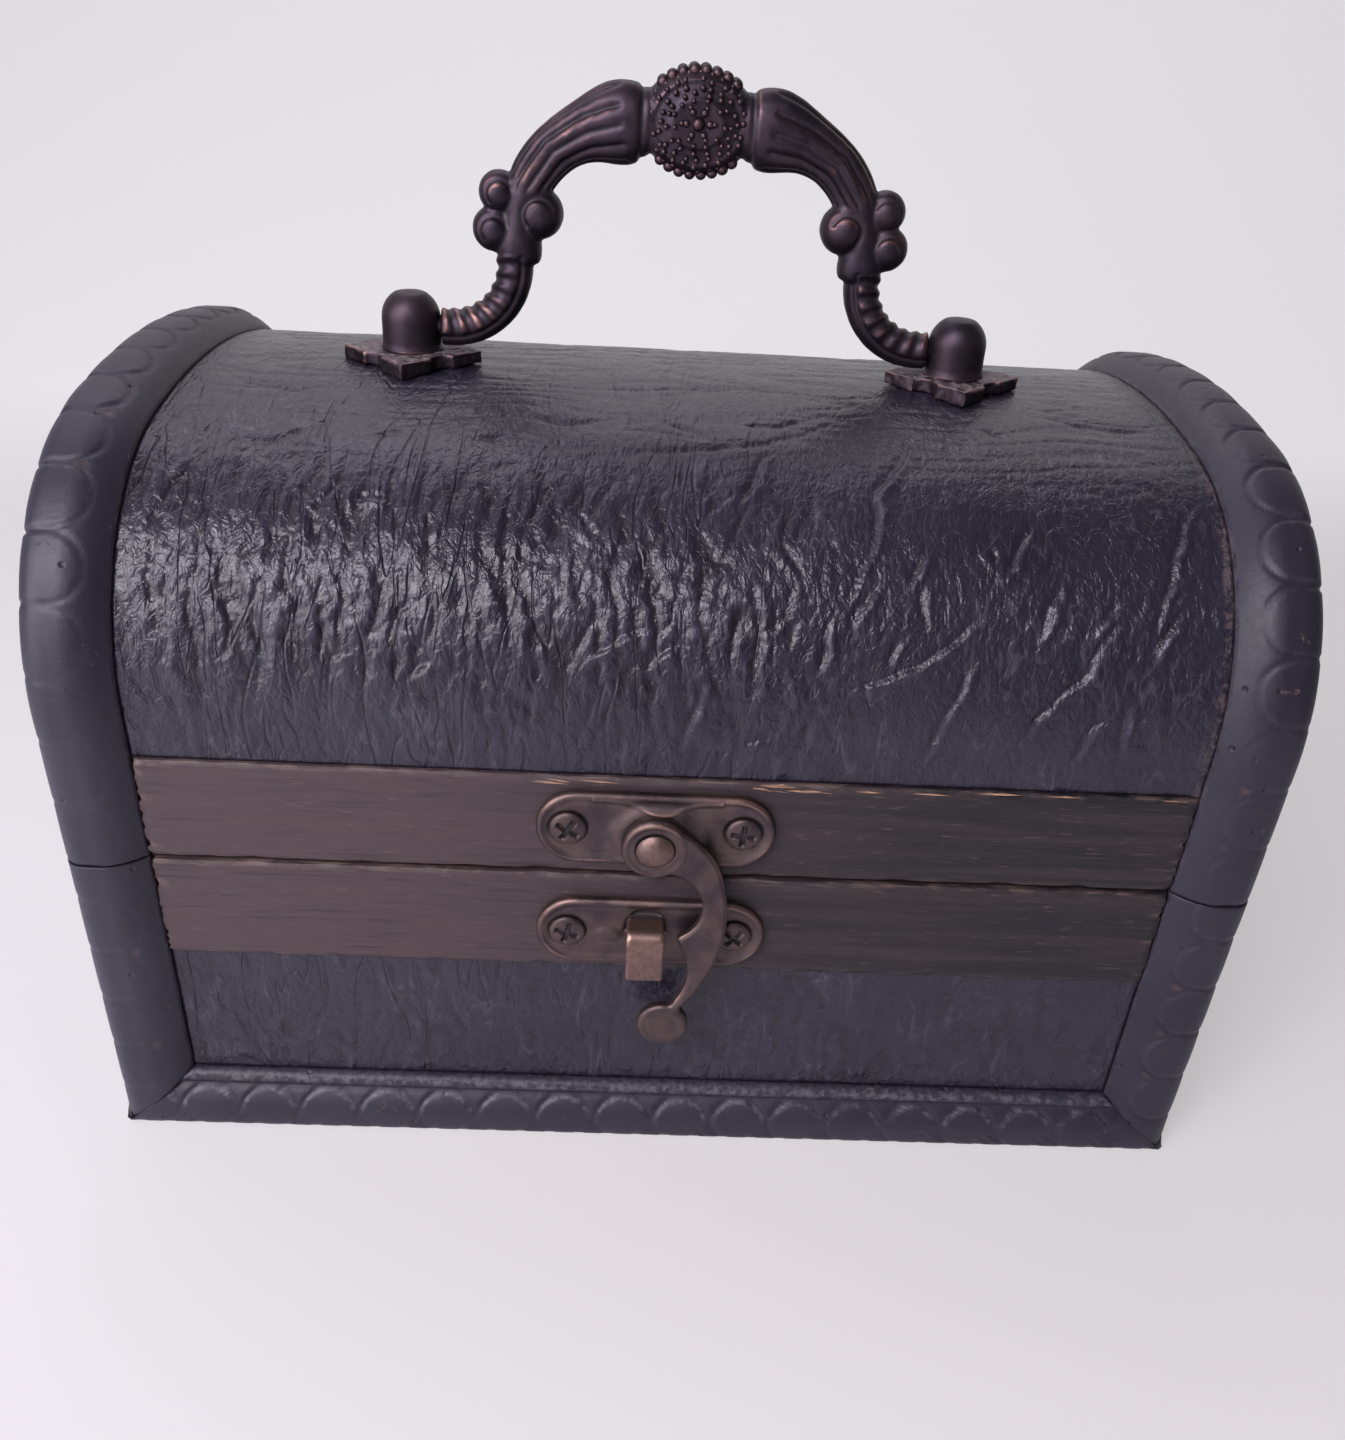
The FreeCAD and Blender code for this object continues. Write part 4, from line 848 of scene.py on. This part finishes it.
def band_splinters(finish):
    """Slivers torn up along the top of the lid's front band."""
    random = np.random.default_rng(5)
    points, faces = [], []
    places = [random.normal(12.5, 2.2, 8), random.uniform(20, 60, 5), random.uniform(-60, -10, 3)]
    for x in np.concatenate(places):
        length = random.uniform(1.6, 5.5)
        width = random.uniform(0.08, 0.18)
        lean = random.uniform(-0.10, 0.06)
        base = np.array([x, -BAND_Y + 0.12, LID_BAND_TOP - random.uniform(0.1, 0.8)])
        tip = base + np.array([length, -random.uniform(0.05, 0.35), lean * length])
        middle = (base + tip) / 2 + np.array([0, 0.0, width])
        first = len(points)
        points += [base - [0.3, 0, 0], middle + [0, -0.16, -width], middle + [0, 0.16, -width],
                   middle + [0, 0, 0.5 * width], tip]
        for a, b in ((1, 2), (2, 3), (3, 1)):
            faces += [(first, first + a, first + b), (first + 4, first + b, first + a)]
    piece = new_piece("lid_front_band_splinters", points, faces, finish, None, set(range(len(faces))))
    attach(piece, "lid")


# Castings: a copy of the solid, remeshed finely, then carved
def read(items, key, width, kind=float):
    """One value of every point or edge, as rows."""
    values = np.empty(len(items) * width, kind)
    items.foreach_get(key, values)
    return values.reshape(-1, width)


def neighbour_bend(mesh):
    """A mesh's points in millimetres, its normals, and how far each point stands above its neighbours."""
    points, normals = read(mesh.vertices, "co", 3) / MM, read(mesh.vertices, "normal", 3)
    edges = read(mesh.edges, "vertices", 2, int)

    def gathered(values):
        """The sum of what each point's neighbours hold."""
        total = np.zeros_like(values)
        for a, b in ((0, 1), (1, 0)):
            np.add.at(total, edges[:, a], values[edges[:, b]])
        return total

    links = np.maximum(gathered(np.ones(len(points))), 1)
    bend = ((points - gathered(points) / links[:, None]) * normals).sum(1)
    for _ in range(2):
        bend = 0.4 * bend + 0.6 * gathered(bend) / links
    return points, normals, bend


def cast(name, body, node, finish, voxel, relax=2, carve=None, shade=None, polish=None):
    """A casting made over a CAD node: softened edges, carved detail, rubbed ridges with a painted highlight
    on top, dark hollows, painted shade where a shade function says.
    """
    work = bmesh.new()
    work.from_mesh(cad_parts[node].data)
    bmesh.ops.remove_doubles(work, verts=work.verts, dist=0.002 * MM)
    mesh = bpy.data.meshes.new(name)
    work.to_mesh(mesh)
    work.free()
    piece = in_scene(name, mesh)
    remesh = piece.modifiers.new("remesh", "REMESH")
    remesh.mode, remesh.voxel_size, remesh.adaptivity = "VOXEL", voxel * MM, 0.0
    ease = piece.modifiers.new("ease", "SMOOTH")
    ease.factor, ease.iterations = 0.5, relax
    made = settled(piece)
    if carve:
        points, normals, _ = neighbour_bend(made)
        made.vertices.foreach_set("co", ((points + carve(points, normals)) * MM).ravel())
        made.update()
    points, normals, bend = neighbour_bend(made)
    # Rubbed copper on convex edges, stronger on upward faces: that bias is a painted highlight for the light
    # from above
    upward_highlight_bias = 0.3 + 0.7 * smooth_step(normals[:, 2], -0.5, 0.5)
    patchy = np.clip(0.75 + 0.6 * lattice_noise(points, 4.0, 51), 0.1, 1.2)
    sharpest = 0.10 * voxel
    hollow, wear = (np.clip(way * bend / sharpest, 0, 1) for way in (-1, 1))
    wear = wear * upward_highlight_bias * patchy
    # painted shade: where the shade function says, the hollow mark is raised so the finish darkens it
    if shade:
        on_face = (normals[:, 1] < -0.3) & (points[:, 1] > -LATCH_FACE - 0.1)
        hollow = np.maximum(hollow, shade(points[:, 0], points[:, 2]) * on_face)
    if polish:
        wear = np.maximum(wear, polish(points))
    put_marks(made, {"wear": wear, "hollow": hollow, "dust": smooth_step(normals[:, 2], 0.3, 0.8)})
    made.polygons.foreach_set("use_smooth", [True] * len(made.polygons))
    made.materials.clear()
    made.materials.append(finish)
    put_in_place(piece, body, "bronze", node)


def stadium_depth(x, z, plate_z):
    """How far a point lies inside the rounded outline of a latch plate."""
    reach = PLATE_REACH - PLATE_RADIUS
    near = np.clip(x - LATCH_X, -reach, reach) + LATCH_X
    return PLATE_RADIUS - np.hypot(x - near, z - plate_z)


def keeper_window(x, z):
    """1 inside the arched cut above the lug, 0 outside; it sinks the plate there and marks painted shade in
    it.
    """
    away = np.hypot((x - LATCH_X + 0.7) / 3.0, (z - KEEPER_PLATE_Z - 0.6) / 3.4)
    return (1 - smooth_step(away, 0.86, 1.0)) * (z > KEEPER_PLATE_Z + 0.4)


def lug_polish(points):
    """The lug's face, rubbed by the hook."""
    return 0.55 * (points[:, 1] < -LATCH_FACE - 0.5)


def rivet_polish(points):
    """The whole rivet, rubbed by thumbs."""
    return np.full(len(points), 0.5)


def plate_relief(plate_z, boss):
    """A pressed plate: rolled edge, gently swelling face, a shallow dish round each screw."""
    def carve(points, normals):
        x, z = points[:, 0], points[:, 2]
        face = (normals[:, 1] < -0.5) & (points[:, 1] > -LATCH_FACE - 0.35) & (points[:, 1] < -BAND_Y - 0.3)
        depth = stadium_depth(x, z, plate_z)
        lift = 0.20 * hump(depth, 0.55, 0.4) - 0.08 * hump(depth, 1.5, 0.45)
        for hand in (-1, 1):
            away = np.hypot(x - LATCH_X - hand * SCREW_REACH, z - plate_z)
            lift -= 0.22 * (1 - smooth_step(away, 2.2, 2.7))
            lift -= 0.10 * (1 - smooth_step(away, 2.7, 4.2))
        shift = np.zeros_like(points)
        if boss:
            away = np.hypot((x - LATCH_X) / 1.15, z - RIVET_Z)
            lift += 0.75 * (1 - smooth_step(away, 3.6, 5.6))
            valley = z - plate_z - 4.3 + 1.5 * hump(x, LATCH_X + 0.8, 3.4)
            lift += 0.22 * hump(valley, 0, 0.35) * (np.abs(x - LATCH_X) < 8)
        else:
            mound = np.hypot((x - LATCH_X + 5.4) / 2.3, (z - plate_z + 0.3) / 1.5)
            lift += 0.38 * (1 - smooth_step(mound, 0.35, 1.0))
            lift -= 0.45 * keeper_window(x, z)
            tab = (points[:, 1] < -LATCH_FACE - 0.35) & (np.abs(normals[:, 0]) > 0.5)
            shift[:, 0] = 0.28 * np.sign(normals[:, 0]) * tab
        lift += 0.03 * lattice_noise(points, 1.7, 21)
        shift[:, 1] = -lift * face
        return shift
    return carve


def hook_relief(points, normals):
    """A bevelled ring round the rivet, a fuller arm and a dished knob."""
    x, z = points[:, 0], points[:, 2]
    ring = np.hypot(x - LATCH_X, z - RIVET_Z)
    knob = np.hypot(x - KNOB_X, z - KNOB_Z)
    lift = 0.16 * hump(ring, 3.6, 0.35) - 0.22 * (1 - smooth_step(ring, 2.2, 2.6))
    lift += 0.12 * hump(knob, 2.7, 0.35) + 0.03 * lattice_noise(points, 2.0, 22)
    arm = smooth_step(ring, 4.6, 7.0) * smooth_step(knob, 3.4, 5.0)
    shift = 0.16 * normals * (arm * (np.abs(normals[:, 1]) < 0.6))[:, None]
    shift[:, 1] = -lift * (normals[:, 1] < -0.6)
    return shift


# The bail's arm as a path of (x, height) points, its curls as (x, height, radius), its roped lower bend
ARM_LINE = ((22.35, 18.2), (21.2, 22.9), (17.9, 27.4), (13.7, 29.8), (9.5, 30.9), (7.0, 31.3), (4.4, 31.5))
CURLS = ((19.91, 19.84, 3.22), (24.95, 22.15, 2.7), (25.7, 17.7, 2.85))
BEND_X, BEND_Z, ROPE_RADIUS, ROPE_PITCH = 31.7, 13.5, 8.7, 2.2


def bail_relief(points, normals):
    """Flutes on the arms, a seat beside the medallion, rope on the lower bends and lines round the curls."""
    x, y, z = np.abs(points[:, 0]), points[:, 1], points[:, 2] - LEATHER_TOP
    run, side, away, _ = along_line(ARM_LINE, x, z)
    on_arm = smooth_step(run, 3.6, 6.0) * (1 - smooth_step(run, 19.2, 20.3)) * (away < 5.6)
    for curl_x, curl_z, radius in CURLS:
        clear = np.sqrt((x - curl_x) ** 2 + y ** 2 + (z - curl_z) ** 2)
        on_arm = on_arm * smooth_step(clear, radius + 0.1, radius + 0.6)
    lift = on_arm * (0.5 * np.abs(np.cos(5 * np.arctan2(y, side))) ** 0.55 - 0.48)
    lift -= 0.30 * (hump(x, 6.9, 0.4) * (z > 24) * (z < 37))
    around = np.arctan2(BEND_X - x, BEND_Z - z)
    radius = np.hypot(x - BEND_X, z - BEND_Z)
    on_bend = (x < 33.2) * (z < 14.8) * (radius < 12.5)
    outside = smooth_step(9.3 - radius, -0.4, 0.4)
    twist = np.sin(2 * np.pi * (around * ROPE_RADIUS / ROPE_PITCH) + 1.5 * y)
    lift += on_bend * outside * (0.15 * twist - 0.03)
    lift -= on_bend * 0.30 * hump(radius, 9.7, 0.32)
    for curl_x, curl_z, radius in CURLS:
        spin = np.hypot(x - curl_x, z - curl_z)
        open_part = np.sin(np.arctan2(z - curl_z, x - curl_x) + 0.6) > -0.3
        shown = (np.abs(y) > 0.35 * radius) * (spin < radius) * open_part
        lift -= 0.22 * hump(spin, 0.62 * radius, 0.3) * shown
    medal = np.hypot(x / MEDAL_X, (z - MEDAL_RISE) / MEDAL_Z)
    on_medal = (medal < 0.83) * (np.abs(y) > 2.2)
    lift -= 0.25 * on_medal * smooth_step(medal, 0.80, 0.74)
    lift += 0.03 * lattice_noise(points, 1.4, 23)
    return normals * lift[:, None]


def foot_relief(points, normals):
    """A rough, crumpled casting."""
    lift = 0.20 * lattice_noise(points, 2.8, 31) + 0.12 * lattice_noise(points, 1.1, 32)
    return normals * (np.clip(lift, -0.4, 0.4) * (points[:, 2] > LEATHER_TOP - 0.6))[:, None]


def post_relief(points, normals):
    """A flared foot and a slightly flattened top, with nothing moved round the handle's pin."""
    x, z = np.abs(points[:, 0]) - POST_X, points[:, 2] - FOOT_TOP
    shift = normals * (0.22 * hump(z, 0, 0.6) + 0.03 * lattice_noise(points, 2.4, 33))[:, None]
    shift[:, 2] += -0.35 * smooth_step(z, 7.2, 8.0)
    bore = np.hypot(points[:, 1], points[:, 2] - PIVOT_Z)
    return shift * smooth_step(bore + (x > 0) * 9, 2.0, 3.0)[:, None]


# Small repeated fittings
def screw_head(finish):
    """One cross-head screw, a dome with its cross cut in, facing -Y at the origin, radius 1."""
    slot_half, slot_reach, slot_depth = 0.17, 0.66, 0.26
    rings, spokes = np.append(np.linspace(0.07, 0.98, 18), 1.0), 72
    ring, turn = np.meshgrid(rings, np.arange(spokes) * 2 * math.pi / spokes, indexing="ij")
    x, z = ring * np.cos(turn), ring * np.sin(turn)
    narrow, long = np.minimum(abs(x), abs(z)), np.maximum(abs(x), abs(z))
    slot = np.maximum(0.0, 1 - (narrow / slot_half) ** 4) * (long < slot_reach)
    rise = 0.30 * (1 - ring ** 2) ** 0.5 + 0.06 - slot_depth * slot
    dome = np.stack([x, -rise, z], -1)
    back = np.stack([x[-1], np.full(spokes, 0.12), z[-1]], -1)
    points = np.concatenate([dome.reshape(-1, 3), back, [(0.0, -0.10, 0.0)]])
    centre = len(points) - 1
    faces = row_faces(len(rings) + 1, spokes, True)
    faces += [(centre, (k + 1) % spokes, k) for k in range(spokes)] + [range(centre - spokes, centre)]
    proud = np.hypot(points[:, 0], points[:, 2])
    sunk = np.concatenate([slot.ravel(), np.zeros(spokes), [1.0]])
    marks = {"wear": 0.35 * hump(proud, 0.85, 0.08), "hollow": sunk, "dust": 0 * proud}
    return new_piece("screw_head_pattern", points, faces, finish, marks)


def spread_tree():
    """Sets a pattern on every point, turned and sized by the point's own values."""
    web, (places, pattern, seed, finish) = new_tree(
        "spread_pattern", "Places", ("Pattern", "Object"), ("Seed", "Int"), ("Finish", "Material"))
    shape = web.add("GeometryNodeObjectInfo", {"Object": pattern}, "Geometry")
    jitter = web.add("FunctionNodeRandomValue", {2: 0.92, 3: 1.08, "Seed": seed}, 1, data_type="FLOAT")
    points = web.add("GeometryNodeMeshToPoints", {"Mesh": places})
    spin = web.add("ShaderNodeCombineXYZ", {"Y": named(web, "turn")})
    facing = named(web, "facing", "FLOAT_VECTOR")
    aim = web.add("FunctionNodeAlignEulerToVector", {"Rotation": spin, "Vector": facing}, axis="Y")
    set_on = web.add("GeometryNodeInstanceOnPoints", {
        "Points": points, "Instance": shape, "Rotation": aim, "Scale": named(web, "size") * jitter})
    return dressed(web, set_on, finish)


def set_out(name, tree, pattern, places, body, finish, seed, *nodes):
    """One piece from a pattern set on (point, facing, size, turn) places."""
    points, facing, sizes, turns = zip(*places)
    mesh = bpy.data.meshes.new(name)
    mesh.from_pydata((np.array(points) * MM).tolist(), [], [])
    put_marks(mesh, {"size": sizes, "turn": turns})
    facing = np.array(facing, np.float32).ravel()
    mesh.attributes.new("facing", "FLOAT_VECTOR", "POINT").data.foreach_set("vector", facing)
    piece = in_scene(name, mesh)
    through(piece, tree, Pattern=pattern, Seed=seed, Finish=finish)
    put_in_place(piece, body, "bronze", *nodes)


def all_screws(tree, finish):
    head = screw_head(finish)
    front, back = (0.0, 1.0, 0.0), (0.0, -1.0, 0.0)
    for name, body, z, turns in (("hook_plate_screws", "lid", HOOK_PLATE_Z, (0.55, 0.1)),
                                 ("keeper_plate_screws", "base", KEEPER_PLATE_Z, (0.3, 0.75))):
        places = [((LATCH_X + hand * SCREW_REACH, -LATCH_FACE + 0.12, z), front, 2.2, turn)
                  for hand, turn in zip((-1, 1), turns)]
        set_out(f"{name}_heads", tree, head, places, body, finish, 3, name)
    for name, body, up in (("base_hinge_screws", "base", -1), ("lid_hinge_screws", "lid", 1)):
        z = HINGE_Z + up * HINGE_SCREW_RISE
        places = [((x + hand * HINGE_SCREW_X, LEAF_FACE - 0.05, z), back, 1.5, 0.4 + 0.9 * hand + 0.01 * x)
                  for x in (-HINGE_X, HINGE_X) for hand in (-1, 1)]
        set_out(f"{name}_heads", tree, head, places, body, finish, 4, name)
    bpy.data.objects.remove(head)


def bead_pattern(finish):
    """A low bead of radius 1, rubbed in front."""
    work = bmesh.new()
    bmesh.ops.create_icosphere(work, subdivisions=2, radius=1.0)
    points = np.array([vert.co for vert in work.verts])
    faces = [tuple(vert.index for vert in face.verts) for face in work.faces]
    work.free()
    high = np.clip(-points[:, 1], 0, 1)
    marks = {"wear": 0.5 * high, "hollow": 0 * high, "dust": 0 * high}
    return new_piece("bead_pattern", points, faces, finish, marks)


# Dots on the medallion's field, in rings: share of its size, count, radius
DOT_RINGS = ((0.80, 24, 0.40), (0.68, 20, 0.38), (0.56, 15, 0.36), (0.44, 11, 0.34), (0.90, 28, 0.38))
FIELD_X = 6.2


def medallion_beads(tree, finish):
    """Beads round the medallion's rim, dots over its field and a flower in the middle, on both faces."""
    bead = bead_pattern(finish)
    random = np.random.default_rng(9)
    places = []

    def add(reach_x, reach_z, turn, y, size):
        point = (reach_x * math.cos(turn), hand * y, PIVOT_Z + HANDLE_RISE + reach_z * math.sin(turn))
        places.append((point, (0.0, -hand, 0.0), size, 0.0))

    for hand in (-1, 1):
        for turn in np.linspace(math.radians(48), math.radians(132), 8):
            for up in (1, -1):
                add(0.955 * MEDAL_X, 0.97 * MEDAL_Z * up, turn, 1.35, 0.78)
        for ring, count, size in DOT_RINGS:
            for k in range(count):
                turn = 2 * math.pi * (k + 0.5 * random.uniform(-0.5, 0.5)) / count
                share = ring + random.uniform(-0.03, 0.03)
                if abs(share * MEDAL_X * math.cos(turn)) <= FIELD_X:
                    y = MEDAL_Y * np.interp(share, (0.46, 0.80, 1.0), (1.0, 0.76, 0.32)) - 0.05
                    add(share * MEDAL_X, share * MEDAL_Z, turn, y, size)
        add(0.0, 0.0, 0.0, 3.4, 0.85)
        for k in range(6):
            for reach, size in ((1.45, 0.5), (2.05, 0.36)):
                add(reach, reach, math.pi * k / 3, 3.42, size)
    set_out("handle_medallion_beads", tree, bead, places, "handle", finish, 6)
    bpy.data.objects.remove(bead)


# Make everything
LEATHERETTE, MOULDING, BAND = leatherette(), moulding_stain(), band_stain()
SPLINTER, BOARD = raw_splinter(), board_wood()
BRONZE = bronze("antique_bronze", (66, 57, 60), (93, 79, 76), (176, 142, 124))
HANDLE_BRONZE = bronze("handle_bronze", (48, 42, 51), (66, 55, 62), (156, 116, 106))
DUSTY_BRONZE = bronze("dusty_bronze", (48, 42, 51), (66, 55, 62), (150, 116, 108), True)

all_leather(LEATHERETTE)
coin_row = coin_tree()
for edging in (corner_stiles, lid_arches, bottom_trims):
    edging(MOULDING, coin_row)
wood_bands(BAND)
band_splinters(SPLINTER)
cast("latch_upper_plate", "lid", "hook_plate", BRONZE, voxel=0.17, relax=1,
     carve=plate_relief(HOOK_PLATE_Z, boss=True))
cast("latch_lower_plate", "base", "keeper_plate", BRONZE, voxel=0.17, relax=1,
     carve=plate_relief(KEEPER_PLATE_Z, boss=False), shade=keeper_window, polish=lug_polish)
cast("latch_swing_hook", "hook", "latch_hook", BRONZE, voxel=0.15, carve=hook_relief)
cast("latch_rivet", "lid", "hook_rivet", BRONZE, voxel=0.12, polish=rivet_polish)
cast("carrying_handle", "handle", "handle_bail", HANDLE_BRONZE, voxel=0.24, carve=bail_relief)
for _, side in SIDES:
    cast(f"handle_{side}_bullet_post", "lid", f"handle_{side}_post", HANDLE_BRONZE, voxel=0.14, relax=1,
         carve=post_relief)
    cast(f"handle_{side}_foot_plate", "lid", f"handle_{side}_foot", DUSTY_BRONZE, voxel=0.22, relax=1,
         carve=foot_relief)
for _, side in SIDES:
    cast(f"{side}_hinge_lower_leaf", "base", f"{side}_hinge_base_leaf", BRONZE, voxel=0.18, relax=1)
    cast(f"{side}_hinge_upper_leaf", "lid", f"{side}_hinge_lid_leaf", BRONZE, voxel=0.18, relax=1)
    cast(f"{side}_hinge_rod", "base", f"{side}_hinge_pin", BRONZE, voxel=0.15)
cast("handle_inside_screws", "lid", "handle_screws", BRONZE, voxel=0.18)
spread = spread_tree()
all_screws(spread, BRONZE)
medallion_beads(spread, HANDLE_BRONZE)

for name in ("base_floor", "base_front_wall", "base_back_wall", "base_right_end", "base_left_end",
             "lid_front_rail", "lid_back_rail", "lid_dome", "lid_right_end", "lid_left_end"):
    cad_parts[name].data.materials.clear()
    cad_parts[name].data.materials.append(BOARD)


# Floor, backdrop and light
def stage_finish():
    """Pale paper that is partly its own light to the camera, and behind the box to reflections."""
    f = Finish("pale_paper")
    colour = f.mix(f.noise(160.0, 2.0, 0.5), srgb(226, 223, 230), srgb(231, 228, 234))
    paper = f.add("ShaderNodeBsdfPrincipled", {"Base Color": colour, "Roughness": 0.75})
    seen = f.add("ShaderNodeLightPath", out="Is Camera Ray")
    mirrored = f.add("ShaderNodeLightPath", out="Is Glossy Ray")
    back_from, back_to = 150.0, 320.0
    behind = f.axis("Y").between(back_from, back_to)
    glow = f.mix(behind, srgb(218, 214, 213), srgb(250, 248, 250))
    even = f.add("ShaderNodeEmission", {"Color": glow, "Strength": 1.0})
    both = f.add("ShaderNodeMixShader", {0: seen * 0.6 + mirrored * behind * 0.8, 1: paper, 2: even})
    f.add("ShaderNodeOutputMaterial", {"Surface": both})
    return f.material


def floor_and_backdrop():
    """A floor that curves up into a backdrop."""
    floor_z, start, radius, half_width = -0.02, 300.0, 500.0, 1500.0
    line = [(-900.0, floor_z), (start, floor_z)]
    for turn in np.radians(np.linspace(6, 84, 14)):
        line.append((start + radius * math.sin(turn), radius * (1 - math.cos(turn)) + floor_z))
    line.append((start + radius, 1400.0))
    points = [(x, y, z) for y, z in line for x in (-half_width, half_width)]
    new_piece("floor_and_backdrop", points, row_faces(len(line), 2), stage_finish())


def lamp(name, place, aim, size, power, colour):
    """An oblong lamp aimed at a point."""
    data = bpy.data.lights.new(name, "AREA")
    data.shape, data.size, data.size_y = "RECTANGLE", size[0] * MM, size[1] * MM
    data.energy, data.color = power, colour
    light = in_scene(name, data)
    light.location = Vector(place) * MM
    light.rotation_euler = (Vector(place) - Vector(aim)).to_track_quat("Z", "Y").to_euler()


def photograph_camera():
    """The camera that the photograph's straight edges give."""
    place = (-5.119, -169.507, 141.2035)
    yaw, pitch, roll, lens = -0.0378, -0.5327, -0.0592, 30.36
    turn = Matrix.Rotation(yaw, 3, "Z") @ Matrix.Rotation(pitch, 3, "X") @ Matrix.Rotation(roll, 3, "Y")
    right, ahead, up = turn.col[0], turn.col[1], turn.col[2]
    data = bpy.data.cameras.new("camera")
    data.lens, data.sensor_width, data.clip_start, data.clip_end = lens, 36.0, 0.005, 20.0
    camera = in_scene("camera", data)
    rows = [(right[k], up[k], -ahead[k], place[k] * MM) for k in range(3)]
    camera.matrix_world = Matrix(rows + [(0, 0, 0, 1)])
    bpy.context.scene.camera = camera


floor_and_backdrop()
lamp("front_softbox", (-230, -390, 465), (-40, -20, 60), (280, 135), 3.0, (0.97, 0.91, 1.0))
lamp("low_front_softbox", (-140, -620, 210), (0, -40, 50), (800, 200), 0.25, (0.97, 0.93, 1.0))
lamp("top_back_softbox", (-150, 260, 620), (0, 0, 60), (640, 260), 1.4, (0.95, 0.90, 1.0))
lamp("left_fill", (-330, -270, 190), (-30, 0, 30), (270, 270), 1.45, (0.97, 0.92, 1.0))
lamp("right_fill", (560, -160, 300), (0, 0, 50), (360, 360), 0.06, (0.96, 0.95, 1.0))
world = bpy.data.worlds.new("studio")
world.use_nodes = True
sky = Web(world.node_tree)
soft = sky.add("ShaderNodeBackground", {"Color": (0.93, 0.88, 1.0, 1.0), "Strength": 0.15})
pale = sky.add("ShaderNodeBackground", {"Color": srgb(236, 233, 237), "Strength": 1.0})
seen = sky.add("ShaderNodeLightPath", out="Is Camera Ray")
sky.add("ShaderNodeOutputWorld", {"Surface": sky.add("ShaderNodeMixShader", {0: seen, 1: soft, 2: pale})})
bpy.context.scene.world = world
photograph_camera()
bpy.context.scene.view_settings.view_transform = "Standard"
